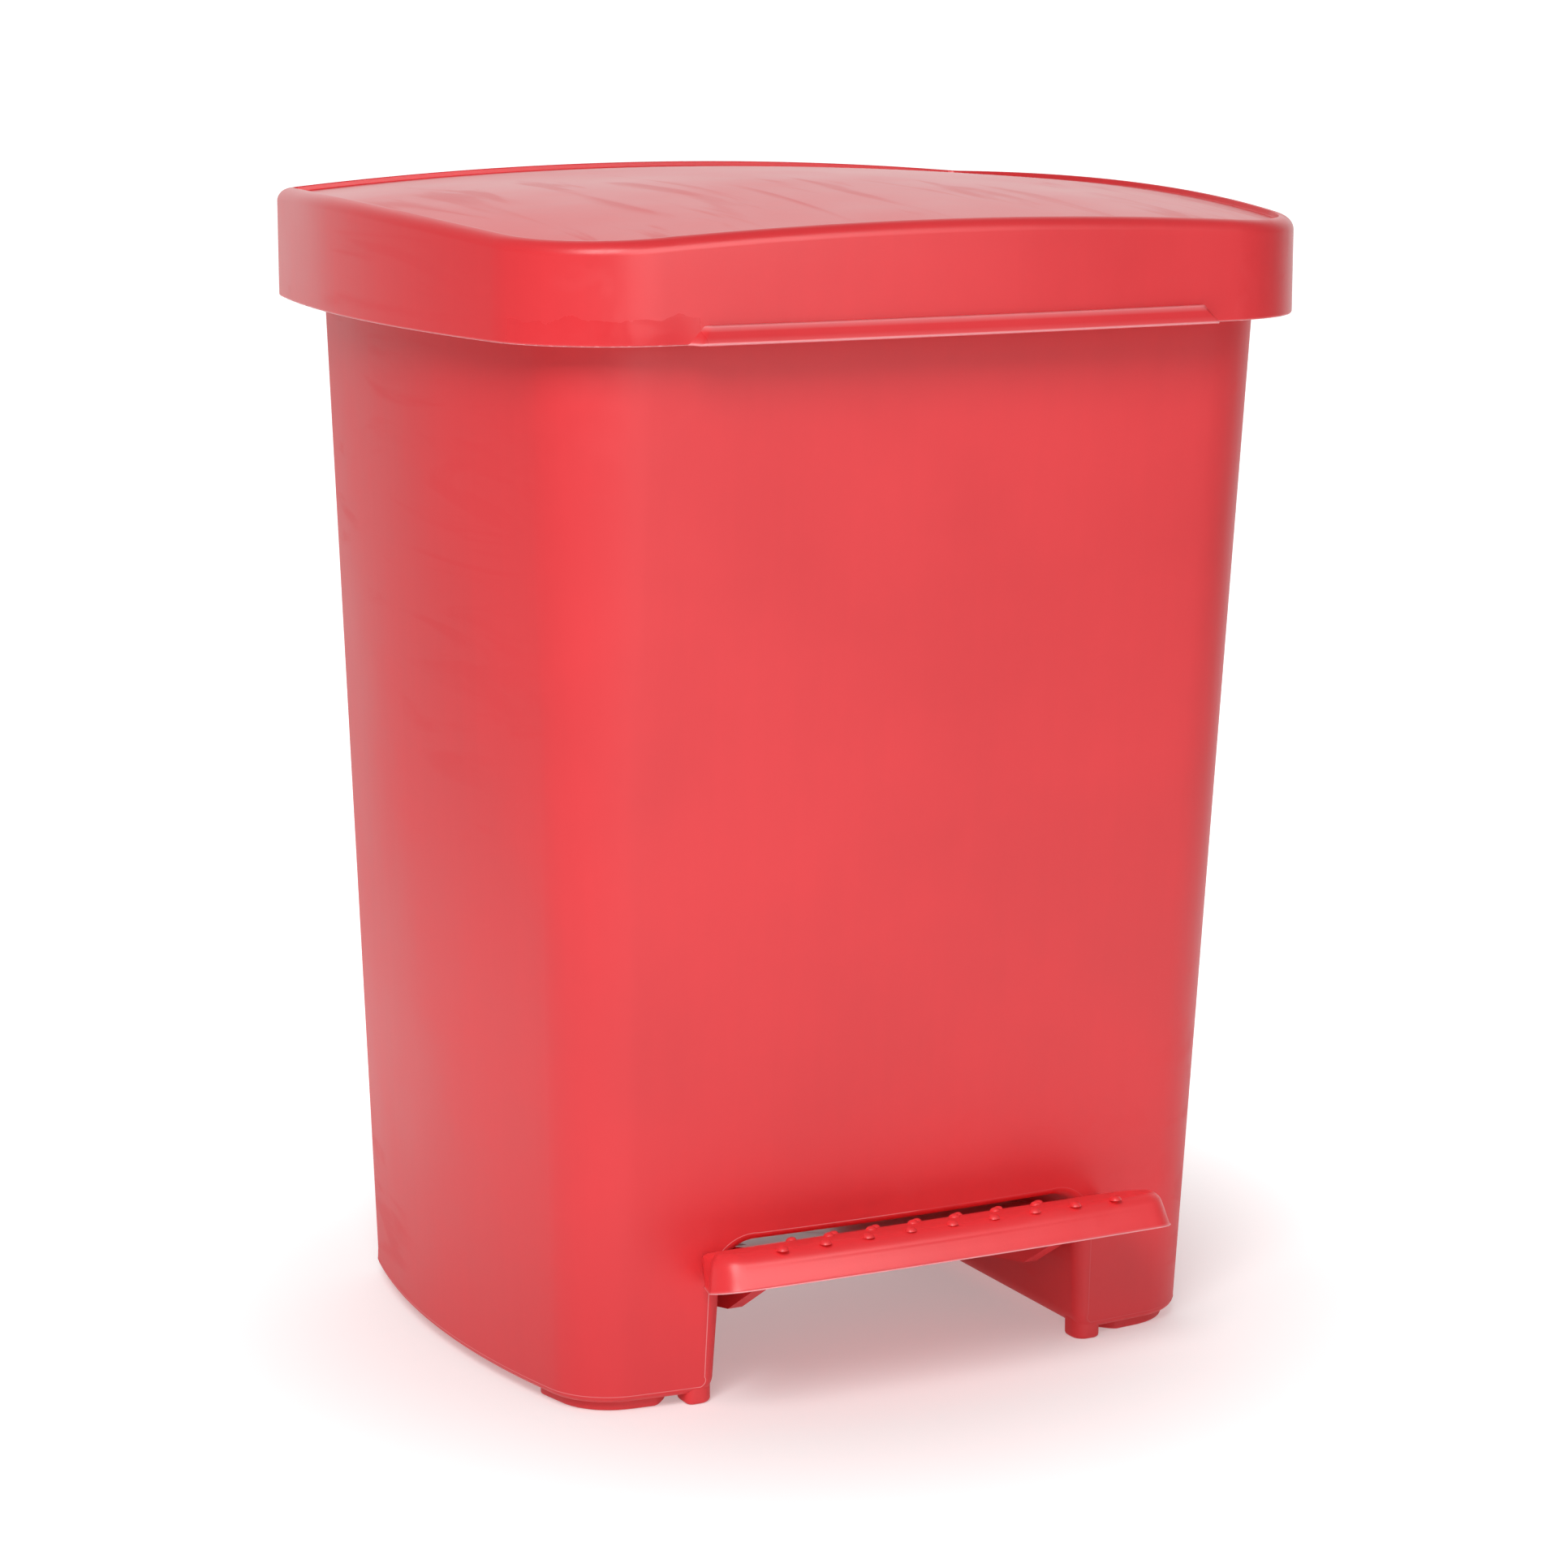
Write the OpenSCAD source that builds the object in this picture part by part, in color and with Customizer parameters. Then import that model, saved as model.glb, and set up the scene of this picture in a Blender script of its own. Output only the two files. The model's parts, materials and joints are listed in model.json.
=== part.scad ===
// Step-on waste bin: a tapered moulded container on corner feet, a domed lid
// hinged at the back, and a wide pedal whose arms lift the lid through a rod
// that runs up a duct in the back wall.
// Millimetres. +Z is up, the pedal faces -Y, and z = 0 is the floor.

/* [Lid] */
// Width of the lid across its bowed sides
lid_width = 340; // [320:1:360]
// Depth of the lid from front to back, without the grip lip
lid_depth = 282; // [270:1:300]
// Height of the skirt's lower edge above the floor
skirt_height = 398; // [390:1:404]
// Height of the dome's highest point above the floor
lid_height = 449; // [446:0.5:456]
// Radius of the domed top
dome_radius = 1650; // [1400:10:2000]
// How far behind the lid's middle the dome is highest
dome_shift = 50; // [40:1:60]
// Wall thickness of the lid
lid_wall = 2.5; // [2:0.1:3]
// Width of the raised bead round the top
bead_width = 5; // [3:0.1:6]
// Height of the raised bead above the top panel
bead_height = 2; // [1:0.1:2.5]
// How far the grip lip stands out from the skirt
lip_reach = 5.6; // [4:0.1:7]
// Half the length of the grip lip
lip_half = 107; // [90:1:115]
// Height of the grip lip
lip_height = 7.5; // [5:0.5:10]

/* [Container] */
// Width of the container's base
base_width = 286.6; // [280:0.1:292]
// Depth of the container's base
base_depth = 221.8; // [218:0.1:224]
// How far the base's middle sits behind the lid's middle
base_shift = 11; // [9:0.5:12]
// Width of the container at its rim
rim_width = 314.8; // [310:0.1:318]
// Depth of the container at its rim
rim_depth = 257.3; // [254:0.1:259]
// Height of the rim above the floor
rim_height = 422; // [418:0.5:423]
// Wall thickness of the container
wall = 2.5; // [2:0.1:3]
// Height of the container's lower edge above the floor
base_lift = 4.2; // [3:0.1:6]

/* [Base tunnel] */
// Half the width of the tunnel under the container
tunnel_half = 78; // [76:0.5:80]
// Height of the tunnel's roof
tunnel_height = 62.8; // [62.6:0.1:66]
// Radius of the tunnel's upper corners
tunnel_radius = 14; // [10:1:18]

/* [Pedal] */
// Distance of the pedal's pivot behind the lid's middle
pivot_y = 19; // [17:0.5:21]
// Height of the pedal's pivot above the floor
pivot_z = 25; // [24:0.5:27]
// Upward tilt of the pedal towards the front, at rest
pedal_tilt = 10.6; // [9:0.1:12]
// Thickness of each pedal arm
arm_thickness = 6; // [5:0.5:7]
// Distance of each pedal arm's middle from the centre line
arm_x = 64; // [60:1:65]
// Spacing of the anti-slip dots
dot_pitch = 17.6; // [16:0.1:18]
// Diameter of the pedal axle
axle_diameter = 8; // [6:1:10]

/* [Lift linkage] */
// Distance of the lid hinge behind the lid's middle
hinge_y = 131.5; // [131:0.1:132]
// Height of the lid hinge above the floor
hinge_z = 403; // [402:0.5:404]
// Distance of the lift rod in front of the lid hinge
lid_arm = 18; // [17:0.5:19]
// Diameter of the lift rod and of the lift bar
rod_diameter = 6; // [5:0.5:7]
// Diameter of the hinge pins and of the rod's top pin
pin_diameter = 5; // [4:0.5:6]

/* [Hidden] */

red = [0.84, 0.23, 0.26];
dark_red = [0.66, 0.12, 0.16];
steel = [0.74, 0.75, 0.77];
$fn = 48;
tiny = 0.01;
arc_steps = 10;

// The whole bin is moved so that its lip and its back are equally far from the origin
frame_shift = lip_reach / 2;

// Bows are how far the middle of a side stands out past its ends: side, front, back
lid_bows = [16, 7, 1.5];
rim_bows = [16, 7, 5];
base_bows = [15, 9, 5.5];
// Corner radii: front, back
lid_radii = [50, 9];
rim_radii = [38, 12];
base_radii = [27, 18];
// How far the rim's middle sits behind the lid's middle
rim_shift = -0.65;

// Duct in the back wall, in which the lift rod runs
duct_half = 22;
duct_front = 102;
duct_bottom = tunnel_height - 10;
cover_wall = 2.2;
cover_recess = 0.8;
cover_bottom = 69;
cover_top = 378;
back_lean = ((base_shift + base_depth / 2) - (rim_shift + rim_depth / 2)) / (rim_height - base_lift);

// Linkage places, in the plane x = 0
rod_y = hinge_y - lid_arm;
lid_open = 74.8;
rod_travel = lid_arm * lid_open * PI / 180;
bar_z = pivot_z - rod_travel / 2;
head_z = hinge_z - 12;
rod_radius = rod_diameter / 2;
pin_radius = pin_diameter / 2;
axle_radius = axle_diameter / 2;
running = 0.05;
press = 0.02;
gap = 0.3;

function arc_points(centre, radius, from, to, steps = arc_steps) =
    [for (i = [0 : steps]) let (a = from + (to - from) * i / steps)
        centre + radius * [cos(a), sin(a)]];

// Where two circles meet, on the left (side = 1) or the right (side = -1) of the line between
function circles_meet(c0, r0, c1, r1, side) =
    let (d = c1 - c0, len_d = norm(d), e = d / len_d,
         a = (r0 * r0 - r1 * r1 + len_d * len_d) / (2 * len_d),
         h = sqrt(r0 * r0 - a * a))
    c0 + a * e + side * h * [-e.y, e.x];

function bow_radius(half_chord, bow) = (half_chord * half_chord + bow * bow) / (2 * bow);
function heading(from, to) = atan2(to.y - from.y, to.x - from.x);
function mirrored(points) =
    [for (i = [len(points) - 2 : -1 : 1]) [-points[i].x, points[i].y]];

// A rectangle with bowed sides and rounded corners, as a list of points
function bowed_outline(width, depth, bows, radii, inset = 0) =
    let (a = width / 2 - inset, b = depth / 2 - inset,
         rf = max(radii[0] - inset, 2), rb = max(radii[1] - inset, 2),
         side_r = bow_radius(b, bows[0]), front_r = bow_radius(a, bows[1]),
         back_r = bow_radius(a, bows[2]),
         side_c = [a - side_r, 0], front_c = [0, front_r - b], back_c = [0, b - back_r],
         cf = circles_meet(side_c, side_r - rf, front_c, front_r - rf, -1),
         cb = circles_meet(side_c, side_r - rb, back_c, back_r - rb, 1),
         f0 = heading(front_c, cf), f1 = heading(side_c, cf),
         b0 = heading(side_c, cb), b1 = heading(back_c, cb),
         half = concat(arc_points(front_c, front_r, -90, f0), arc_points(cf, rf, f0, f1),
                       arc_points(side_c, side_r, f1, b0), arc_points(cb, rb, b0, b1),
                       arc_points(back_c, back_r, b1, 90)))
    distinct(concat(half, mirrored(half)));

function distinct(points) =
    [for (i = [0 : len(points) - 1])
        if (norm(points[i] - points[(i + 1) % len(points)]) > tiny) points[i]];

function lid_outline(inset = 0) = bowed_outline(lid_width, lid_depth, lid_bows, lid_radii, inset);
function rim_outline(inset = 0) =
    [for (p = bowed_outline(rim_width, rim_depth, rim_bows, rim_radii, inset)) p + [0, rim_shift]];
function base_outline(inset = 0) =
    [for (p = bowed_outline(base_width, base_depth, base_bows, base_radii, inset))
        p + [0, base_shift]];
function back_at(z) = base_shift + base_depth / 2 - back_lean * (z - base_lift);

// Outline of the container at height z
function wall_outline(z) =
    let (low = base_outline(), high = rim_outline(), t = (z - base_lift) / (rim_height - base_lift))
    [for (i = [0 : len(low) - 1]) low[i] * (1 - t) + high[i] * t];

// A solid through a stack of outlines with the same number of points: levels are [z, outline]
module loft(levels) {
    n = len(levels[0][1]);
    top = n * (len(levels) - 1);
    polyhedron(points = [for (level = levels, p = level[1]) [p.x, p.y, level[0]]],
               faces = concat([[for (i = [0 : n - 1]) i]],
                              [[for (i = [n - 1 : -1 : 0]) i + top]],
                              [for (k = [0 : n : top - n], i = [0 : n - 1])
                                  [k + i, k + i + n, k + (i + 1) % n + n]],
                              [for (k = [0 : n : top - n], i = [0 : n - 1])
                                  [k + i, k + (i + 1) % n + n, k + (i + 1) % n]]));
}

module placed() translate([0, frame_shift, 0]) children();
module slab(z0, z1) translate([0, 0, z0]) linear_extrude(z1 - z0) children();
module block(low, high) translate(low) cube(high - low);
module mirror_copy() {
    children();
    mirror([1, 0, 0]) children();
}
// A round bar along X between two places, at y and z
module bar_x(x0, x1, y, z, r) translate([x0, y, z]) rotate([0, 90, 0]) cylinder(r = r, h = x1 - x0);
// A flat shape drawn in (y, z) and made solid between two places along X
module plate_x(x0, x1) translate([x0, 0, 0]) rotate([90, 0, 90]) linear_extrude(x1 - x0) children();

// ---- container ----

// An upright arch with rounded upper corners, open at the floor
module arch(half, height, radius) {
    translate([-half, -20]) square([2 * half, height - radius + 20]);
    translate([radius - half, 0]) square([2 * (half - radius), height]);
    for (s = [-1, 1])
        translate([s * (half - radius), height - radius]) circle(radius, $fn = 64);
}

// A flat shape drawn in (x, z) and made solid between two places along Y
module plate_y(y0, y1) translate([0, y1, 0]) rotate([90, 0, 0]) linear_extrude(y1 - y0) children();

module tunnel(grow) plate_y(-200, 200)
    arch(tunnel_half + grow, tunnel_height + grow, tunnel_radius + grow);

// Chamfer along the lower edges of the tunnel's walls
tunnel_chamfer = 2.5;
module tunnel_lower_edges() mirror_copy() plate_y(-200, 200)
    polygon([[tunnel_half - 1, 0], [tunnel_half + tunnel_chamfer, 0],
             [tunnel_half + tunnel_chamfer, base_lift], [tunnel_half, base_lift + tunnel_chamfer],
             [tunnel_half - 1, base_lift + tunnel_chamfer]]);

// Chamfer round the tunnel's mouth in the leaning front wall: how far it widens to the side and
// upwards over mouth_depth
front_lean = 4;
mouth_side = 8;
mouth_rise = 3.6;
mouth_depth = 7;
module mouth() translate([0, base_shift - base_depth / 2, base_lift]) rotate([front_lean, 0, 0])
    translate([0, 0, -base_lift]) hull() {
        plate_y(-1.2, -1)
            arch(tunnel_half + mouth_side, tunnel_height + mouth_rise, tunnel_radius + mouth_rise);
        plate_y(mouth_depth, mouth_depth + 0.2) arch(tunnel_half, tunnel_height, tunnel_radius);
    }

module duct(grow, top) {
    block([-duct_half - grow, duct_front - grow, duct_bottom],
          [duct_half + grow, 200, top]);
}

peg_radius = 4;
peg_depth = 5;
peg_front = [114, -74];
peg_rear = [114, 97];

module peg_bosses() {
    for (p = [peg_front, peg_rear])
        mirror_copy() translate([p.x, p.y, base_lift]) cylinder(r = peg_radius + 3, h = peg_depth + 3);
}

module peg_holes() {
    hole = base_lift + peg_depth + 1.5;
    for (p = [peg_front, peg_rear])
        mirror_copy() translate([p.x, p.y, -1]) cylinder(r = peg_radius + running, h = hole);
}

module inside()
    loft([[base_lift + wall, base_outline(wall)], [rim_height + 1, rim_outline(wall)]]);

// The outside of the container, with its lower edge rounded by edge_radius
edge_radius = 2.4;
module outside() loft([[base_lift, base_outline(edge_radius)],
                       [base_lift + 0.3 * edge_radius, base_outline(0.3 * edge_radius)],
                       [base_lift + edge_radius, wall_outline(base_lift + edge_radius)],
                       [rim_height, rim_outline()]]);

module cavity() {
    difference() {
        inside();
        tunnel(wall);
        duct(wall, rim_height + 2);
        peg_bosses();
    }
}

module rim_bead() {
    intersection() {
        slab(rim_height - 8, rim_height) difference() {
            polygon(rim_outline(-2.2));
            polygon(rim_outline(1));
        }
        block([-200, -200, 0], [200, 100, 500]);
    }
}

// Round-cornered posts that carry the tunnel walls down to the floor
leg_size = [11.3, 11.5];
leg_radius = 4;
leg_top = 10;
leg_front_y = -90;
leg_rear_y = 112;
module leg_2d() {
    for (x = [leg_radius, leg_size.x - leg_radius], y = [leg_radius, leg_size.y - leg_radius])
        translate([x, y - leg_size.y / 2]) circle(leg_radius);
    translate([leg_radius, -leg_size.y / 2]) square([leg_size.x - 2 * leg_radius, leg_size.y]);
    translate([0, leg_radius - leg_size.y / 2]) square([leg_size.x, leg_size.y - 2 * leg_radius]);
}
module legs() mirror_copy() for (y = [leg_front_y, leg_rear_y])
    translate([tunnel_half, y, 0]) linear_extrude(leg_top) leg_2d();

// Rib pairs on the tunnel walls, between which the pedal's bearings sit
bearing_half = 12;
rib = 2.5;
rib_inner = 72;
rib_bottom = 8;
rib_top = 48;
module bearing_ribs() {
    mirror_copy() for (y = [pivot_y - bearing_half - rib - gap, pivot_y + bearing_half + gap])
        block([rib_inner, y, rib_bottom], [tunnel_half + 1, y + rib, rib_top]);
}

knuckle_radius = 4.2;
ear_width = 6;
ear_places = [60, 84];
module ears() {
    mirror_copy() for (x = ear_places) {
        bar_x(x, x + ear_width, hinge_y, hinge_z, knuckle_radius);
        block([x, hinge_y - 8, hinge_z - knuckle_radius],
              [x + ear_width, hinge_y, hinge_z + knuckle_radius]);
    }
}

module body_shell() color(red) placed() {
    legs();
    hollow_shell();
}

module hollow_shell() difference() {
    union() {
        difference() {
            outside();
            cavity();
        }
        rim_bead();
        difference() {
            ears();
            inside();
        }
    }
    difference() {
        tunnel(0);
        bearing_ribs();
    }
    duct(0, rim_height + 2);
    mouth();
    tunnel_lower_edges();
    peg_holes();
    mirror_copy() bar_x(58, 92, hinge_y, hinge_z, pin_radius + press);
}

// ---- parts fixed to the container ----

guide_height = 12;
guide_low_z = 92;
guide_high_z = 346;
screw_x = 14;
screw_radius = 1.8;

module cover_plate_2d(z0, z1) {
    inner = back_at(0) - cover_recess - cover_wall;
    polygon([[inner - back_lean * z0, z0], [inner - back_lean * z0 + cover_wall, z0],
             [inner - back_lean * z1 + cover_wall, z1], [inner - back_lean * z1, z1]]);
}

module screw_along_y(x, y, z, shank) {
    translate([x, y, z]) rotate([-90, 0, 0]) cylinder(r = 3.2, h = 1.8);
    translate([x, y, z]) rotate([90, 0, 0]) cylinder(r = screw_radius, h = shank);
}

module cover_screw_set(extra) {
    for (z = [guide_low_z, guide_high_z], x = [-screw_x, screw_x])
        screw_along_y(x, back_at(z) - cover_recess + extra, z + guide_height / 2, 10);
}

module rear_cover() color(red) placed() difference() {
    plate_x(-duct_half + gap, duct_half - gap) cover_plate_2d(cover_bottom, cover_top);
    for (z = [guide_low_z, guide_high_z], x = [-screw_x, screw_x])
        translate([x, 150, z + guide_height / 2]) rotate([90, 0, 0])
            cylinder(r = screw_radius + running, h = 60);
}

module cover_screws() color(steel) placed() cover_screw_set(0.2);

module rod_guide(z) {
    back = back_at(z) - cover_recess - cover_wall - gap;
    difference() {
        block([-duct_half + gap, duct_front + gap, z], [duct_half - gap, back, z + guide_height]);
        translate([0, rod_y, z - 1]) cylinder(r = rod_radius + 0.08, h = guide_height + 2);
        for (x = [-screw_x, screw_x])
            translate([x, back + 1, z + guide_height / 2]) rotate([90, 0, 0])
                cylinder(r = screw_radius + running, h = 10);
    }
}

module rod_guide_lower() color(dark_red) placed() rod_guide(guide_low_z);
module rod_guide_upper() color(dark_red) placed() rod_guide(guide_high_z);

module hinge_pin() {
    bar_x(58.5, 91, hinge_y, hinge_z, pin_radius);
    bar_x(57, 59.5, hinge_y, hinge_z, pin_radius + 1.3);
}
module hinge_pin_left() color(steel) placed() mirror([1, 0, 0]) hinge_pin();
module hinge_pin_right() color(steel) placed() hinge_pin();

module pedal_axle() color(steel) placed()
    bar_x(-tunnel_half + 1.5, tunnel_half - 1.5, pivot_y, pivot_z, axle_radius);

bearing_inner = 69.4;
module pedal_bearing() difference() {
    union() {
        block([bearing_inner + 2, pivot_y - bearing_half, pivot_z - 13],
              [tunnel_half - gap, pivot_y + bearing_half, pivot_z + 18]);
        bar_x(bearing_inner, bearing_inner + 3, pivot_y, pivot_z, 9);
    }
    bar_x(bearing_inner - 1, tunnel_half + 1, pivot_y, pivot_z, axle_radius + press);
}
module pedal_bearing_left() color(dark_red) placed() mirror([1, 0, 0]) pedal_bearing();
module pedal_bearing_right() color(dark_red) placed() pedal_bearing();

// Crescent pads under the container's corners, each with a peg
foot_inset = 4;
foot_radius = 23.5;
foot_hollow = 18;
module foot_pad(peg, away) {
    slab(0, base_lift) difference() {
        intersection() {
            polygon(base_outline(foot_inset));
            translate([peg.x - 1, peg.y + 2 * away]) circle(foot_radius, $fn = 64);
        }
        translate([peg.x - 16, peg.y + foot_hollow * away]) circle(foot_hollow, $fn = 64);
    }
    translate([peg.x, peg.y, 0]) cylinder(r = peg_radius, h = base_lift + peg_depth);
}
module foot_front() foot_pad(peg_front, 1);
module foot_rear() foot_pad(peg_rear, -1);
module foot_front_left() color(red) placed() mirror([1, 0, 0]) foot_front();
module foot_front_right() color(red) placed() foot_front();
module foot_rear_left() color(red) placed() mirror([1, 0, 0]) foot_rear();
module foot_rear_right() color(red) placed() foot_rear();

// Opening of the container at the rim, drawn in by inset; it passes in front of the duct
module mouth_2d(inset) difference() {
    polygon(rim_outline(inset));
    translate([-duct_half - inset, duct_front - inset])
        square([2 * (duct_half + inset), 100]);
}

ring_depth = 20;
module bag_ring() color(dark_red) placed() {
    slab(rim_height + 0.1, rim_height + 2.1) difference() {
        mouth_2d(0.5);
        mouth_2d(6.5);
    }
    slab(rim_height - ring_depth, rim_height + 0.2) difference() {
        mouth_2d(4.3);
        mouth_2d(6.5);
    }
}

// ---- lid ----

module dome(top) translate([0, dome_shift, top - dome_radius]) sphere(r = dome_radius, $fn = 240);

// The grip lip's ends slope in by lip_slope over its height
lip_slope = 5;
module grip_lip() {
    intersection() {
        slab(skirt_height, skirt_height + lip_height) difference() {
            polygon(lid_outline(-lip_reach));
            polygon(lid_outline(1));
        }
        translate([0, 0, skirt_height]) plate_y(-200, -100)
            polygon([[-lip_half, 0], [lip_half, 0], [lip_half - lip_slope, lip_height],
                     [lip_slope - lip_half, lip_height]]);
    }
}

// Ribs under the lid that come down on the container's rim
module rest_ribs() {
    z0 = rim_height + 2.4;
    z1 = lid_height;
    mirror_copy() {
        block([80, -lid_depth / 2 + 3, z0], [82.5, -118, z1]);
        block([147, -30, z0], [lid_width / 2 - 2, -27.5, z1]);
    }
}

boss_x = 16;
bracket_top = 436;
module lid_bosses() mirror_copy() translate([boss_x, rod_y, bracket_top]) cylinder(r = 4, h = 12);

module lid_knuckles() mirror_copy() {
    x0 = ear_places[0] + ear_width + 0.5;
    x1 = ear_places[1] - 0.5;
    bar_x(x0, x1, hinge_y, hinge_z, knuckle_radius);
    block([x0, hinge_y, hinge_z], [x1, lid_depth / 2 - lid_wall, hinge_z + 6]);
}

module lid_shell() color(red) placed() difference() {
    union() {
        difference() {
            intersection() {
                slab(skirt_height, lid_height + 5) polygon(lid_outline());
                dome(lid_height);
            }
            difference() {
                slab(lid_height - 40, lid_height + 10) polygon(lid_outline(bead_width));
                dome(lid_height - bead_height);
            }
            intersection() {
                slab(skirt_height - 1, lid_height + 1) polygon(lid_outline(lid_wall));
                dome(lid_height - bead_height - lid_wall);
            }
        }
        grip_lip();
        intersection() {
            union() {
                rest_ribs();
                lid_bosses();
            }
            dome(lid_height - bead_height - 1);
        }
        lid_knuckles();
    }
    mirror_copy() {
        bar_x(ear_places[0], ear_places[1] + ear_width, hinge_y, hinge_z, pin_radius + running);
        translate([boss_x, rod_y, bracket_top - 1]) cylinder(r = screw_radius + running, h = 7);
    }
}

// Two ears that hang into the duct. The rod's top pin lifts them by a loose hole.
eye_y = 16.1;
eye_z = -12.6;
eye_hole = 5.3;
eye_radius = 8.3;
bracket_ear_x = 6.5;
bracket_wall = 3;
module bracket_ear_2d() difference() {
    union() {
        translate([hinge_y - eye_y, hinge_z + eye_z]) circle(eye_radius, $fn = 64);
        polygon([[hinge_y - eye_y - eye_radius, hinge_z + eye_z],
                 [hinge_y - eye_y + eye_radius, hinge_z + eye_z],
                 [hinge_y - eye_y + eye_radius + 1, bracket_top - 1],
                 [hinge_y - eye_y - eye_radius - 3, bracket_top - 1]]);
    }
    translate([hinge_y - eye_y, hinge_z + eye_z]) circle(eye_hole, $fn = 64);
}
module lift_bracket() color(dark_red) placed() {
    difference() {
        block([-boss_x - 6, rod_y - 10, bracket_top - bracket_wall], [boss_x + 6, rod_y + 10, bracket_top]);
        mirror_copy() translate([boss_x, rod_y, bracket_top - 10])
            cylinder(r = screw_radius + running, h = 20);
    }
    mirror_copy() plate_x(bracket_ear_x, bracket_ear_x + bracket_wall) bracket_ear_2d();
}
module bracket_screws() color(steel) placed() mirror_copy() translate([boss_x, rod_y, 0]) {
    translate([0, 0, bracket_top - bracket_wall - 2]) cylinder(r = 3.2, h = 1.8);
    translate([0, 0, bracket_top - bracket_wall - 0.3]) cylinder(r = screw_radius, h = 8);
}

// ---- pedal: everything below is drawn level, with the pivot at the origin ----

module pedal_frame() placed() translate([0, pivot_y, pivot_z]) rotate([-pedal_tilt, 0, 0]) children();

tread_bottom = -0.3;
tread_top = 13.8;
tread_wall = 2.5;
tread_front = 167.3;
tread_half = 97;
tread_back_half = 86;
tread_back = 125.5;
neck_half = 67;
neck_slot = 69;
neck_back = 68;
tread_bow = 5;
tread_corner = 12;
tread_rise = 3.2;

// Outline of the tread, seen from above: bowed front, round corners, ends that draw in.
// The rear edge stays at rear whatever the inset.
function tread_outline(inset, rear) =
    let (w = tread_half - inset, r = tread_corner - inset, front = tread_front - inset,
         bow_r = bow_radius(tread_half, tread_bow),
         bow_c = [0, bow_r - front],
         cx = w - r, cy = -sqrt(pow(bow_r - r, 2) - cx * cx) + bow_c.y,
         a0 = heading(bow_c, [cx, cy]),
         half = concat(arc_points(bow_c, bow_r, -90, a0), arc_points([cx, cy], r, a0, 0),
                       [[tread_back_half - inset, -rear]]))
    distinct(concat(half, [for (i = [len(half) - 1 : -1 : 1]) [-half[i].x, half[i].y]]));

module tread_solid(inset, bottom, top, rear) hull() {
    slab(bottom, top - 6) polygon(tread_outline(inset, rear));
    slab(top - 3, top - 2) polygon(tread_outline(inset + 1.6, rear));
    slab(top - 0.4, top) polygon(tread_outline(inset + 5, rear));
}

dot_radius = 2.1;
dot_rows = [[9, 161], [6, 146.5], [7, 132.5]];
module dots() {
    for (row = dot_rows, i = [0 : row[0] - 1])
        translate([(i - (row[0] - 1) / 2) * dot_pitch, -row[1], tread_top - 0.3])
            cylinder(r1 = dot_radius, r2 = dot_radius * 0.5, h = 1.5, $fn = 16);
}

// The tread rises a little more steeply than its arms, turned about its rear top edge
module raised() translate([0, -tread_back, tread_top]) rotate([-tread_rise, 0, 0])
    translate([0, tread_back, -tread_top]) children();

module pedal_tread() color(red) pedal_frame() {
    raised() {
        difference() {
            tread_solid(0, tread_bottom, tread_top, tread_back);
            tread_solid(tread_wall, tread_bottom - 1, tread_top - tread_wall, tread_back + tread_wall);
            block([-neck_slot, -tread_back - 4, tread_bottom - 2],
                  [neck_slot, -tread_back + 4, tread_top - tread_wall]);
        }
        dots();
    }
    block([-neck_half, -tread_back - 1, tread_top - tread_wall], [neck_half, -neck_back, tread_top]);
}

// Place of the lift bar, drawn level like the rest of the pedal
bar_rel = [rod_y - pivot_y, bar_z - pivot_z];
bar_level = [bar_rel.x * cos(pedal_tilt) - bar_rel.y * sin(pedal_tilt),
             bar_rel.x * sin(pedal_tilt) + bar_rel.y * cos(pedal_tilt)];
arm_bottom = -13;
arm_top = tread_top - tread_wall - 0.1;
bar_eye = 7;

module arm_2d() {
    difference() {
        union() {
            polygon([[-154, arm_top - 2], [-151, arm_top + 1], [-tread_back, arm_top],
                     [-neck_back + 1, arm_top], [-40, 11], [0, 12],
                     [bar_level.x, bar_level.y + bar_eye], [bar_level.x, bar_level.y - bar_eye],
                     [0, arm_bottom], [-103, arm_bottom], [-120, -6.5], [-136, tread_bottom],
                     [-154, tread_bottom + 1]]);
            circle(13);
            translate(bar_level) circle(bar_eye);
        }
        circle(axle_radius + running);
        translate(bar_level) circle(rod_radius + press);
    }
}
module pedal_arm() {
    plate_x(arm_x - arm_thickness / 2, arm_x + arm_thickness / 2) arm_2d();
    difference() {
        bar_x(arm_x - 5, arm_x + 4.8, 0, 0, 9);
        bar_x(arm_x - 6, arm_x + 6, 0, 0, axle_radius + running);
    }
}
module pedal_arm_left() color(dark_red) pedal_frame() mirror([1, 0, 0]) pedal_arm();
module pedal_arm_right() color(dark_red) pedal_frame() pedal_arm();

bar_half = arm_x + arm_thickness / 2 + 4;
module lift_bar() color(steel) placed() bar_x(-bar_half, bar_half, rod_y, bar_z, rod_radius);
module bar_clips() color(steel) placed() mirror_copy() difference() {
    bar_x(bar_half - 3.2, bar_half - 1.2, rod_y, bar_z, 5.5);
    bar_x(bar_half - 4, bar_half, rod_y, bar_z, rod_radius + press);
}

// ---- lift rod ----

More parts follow.
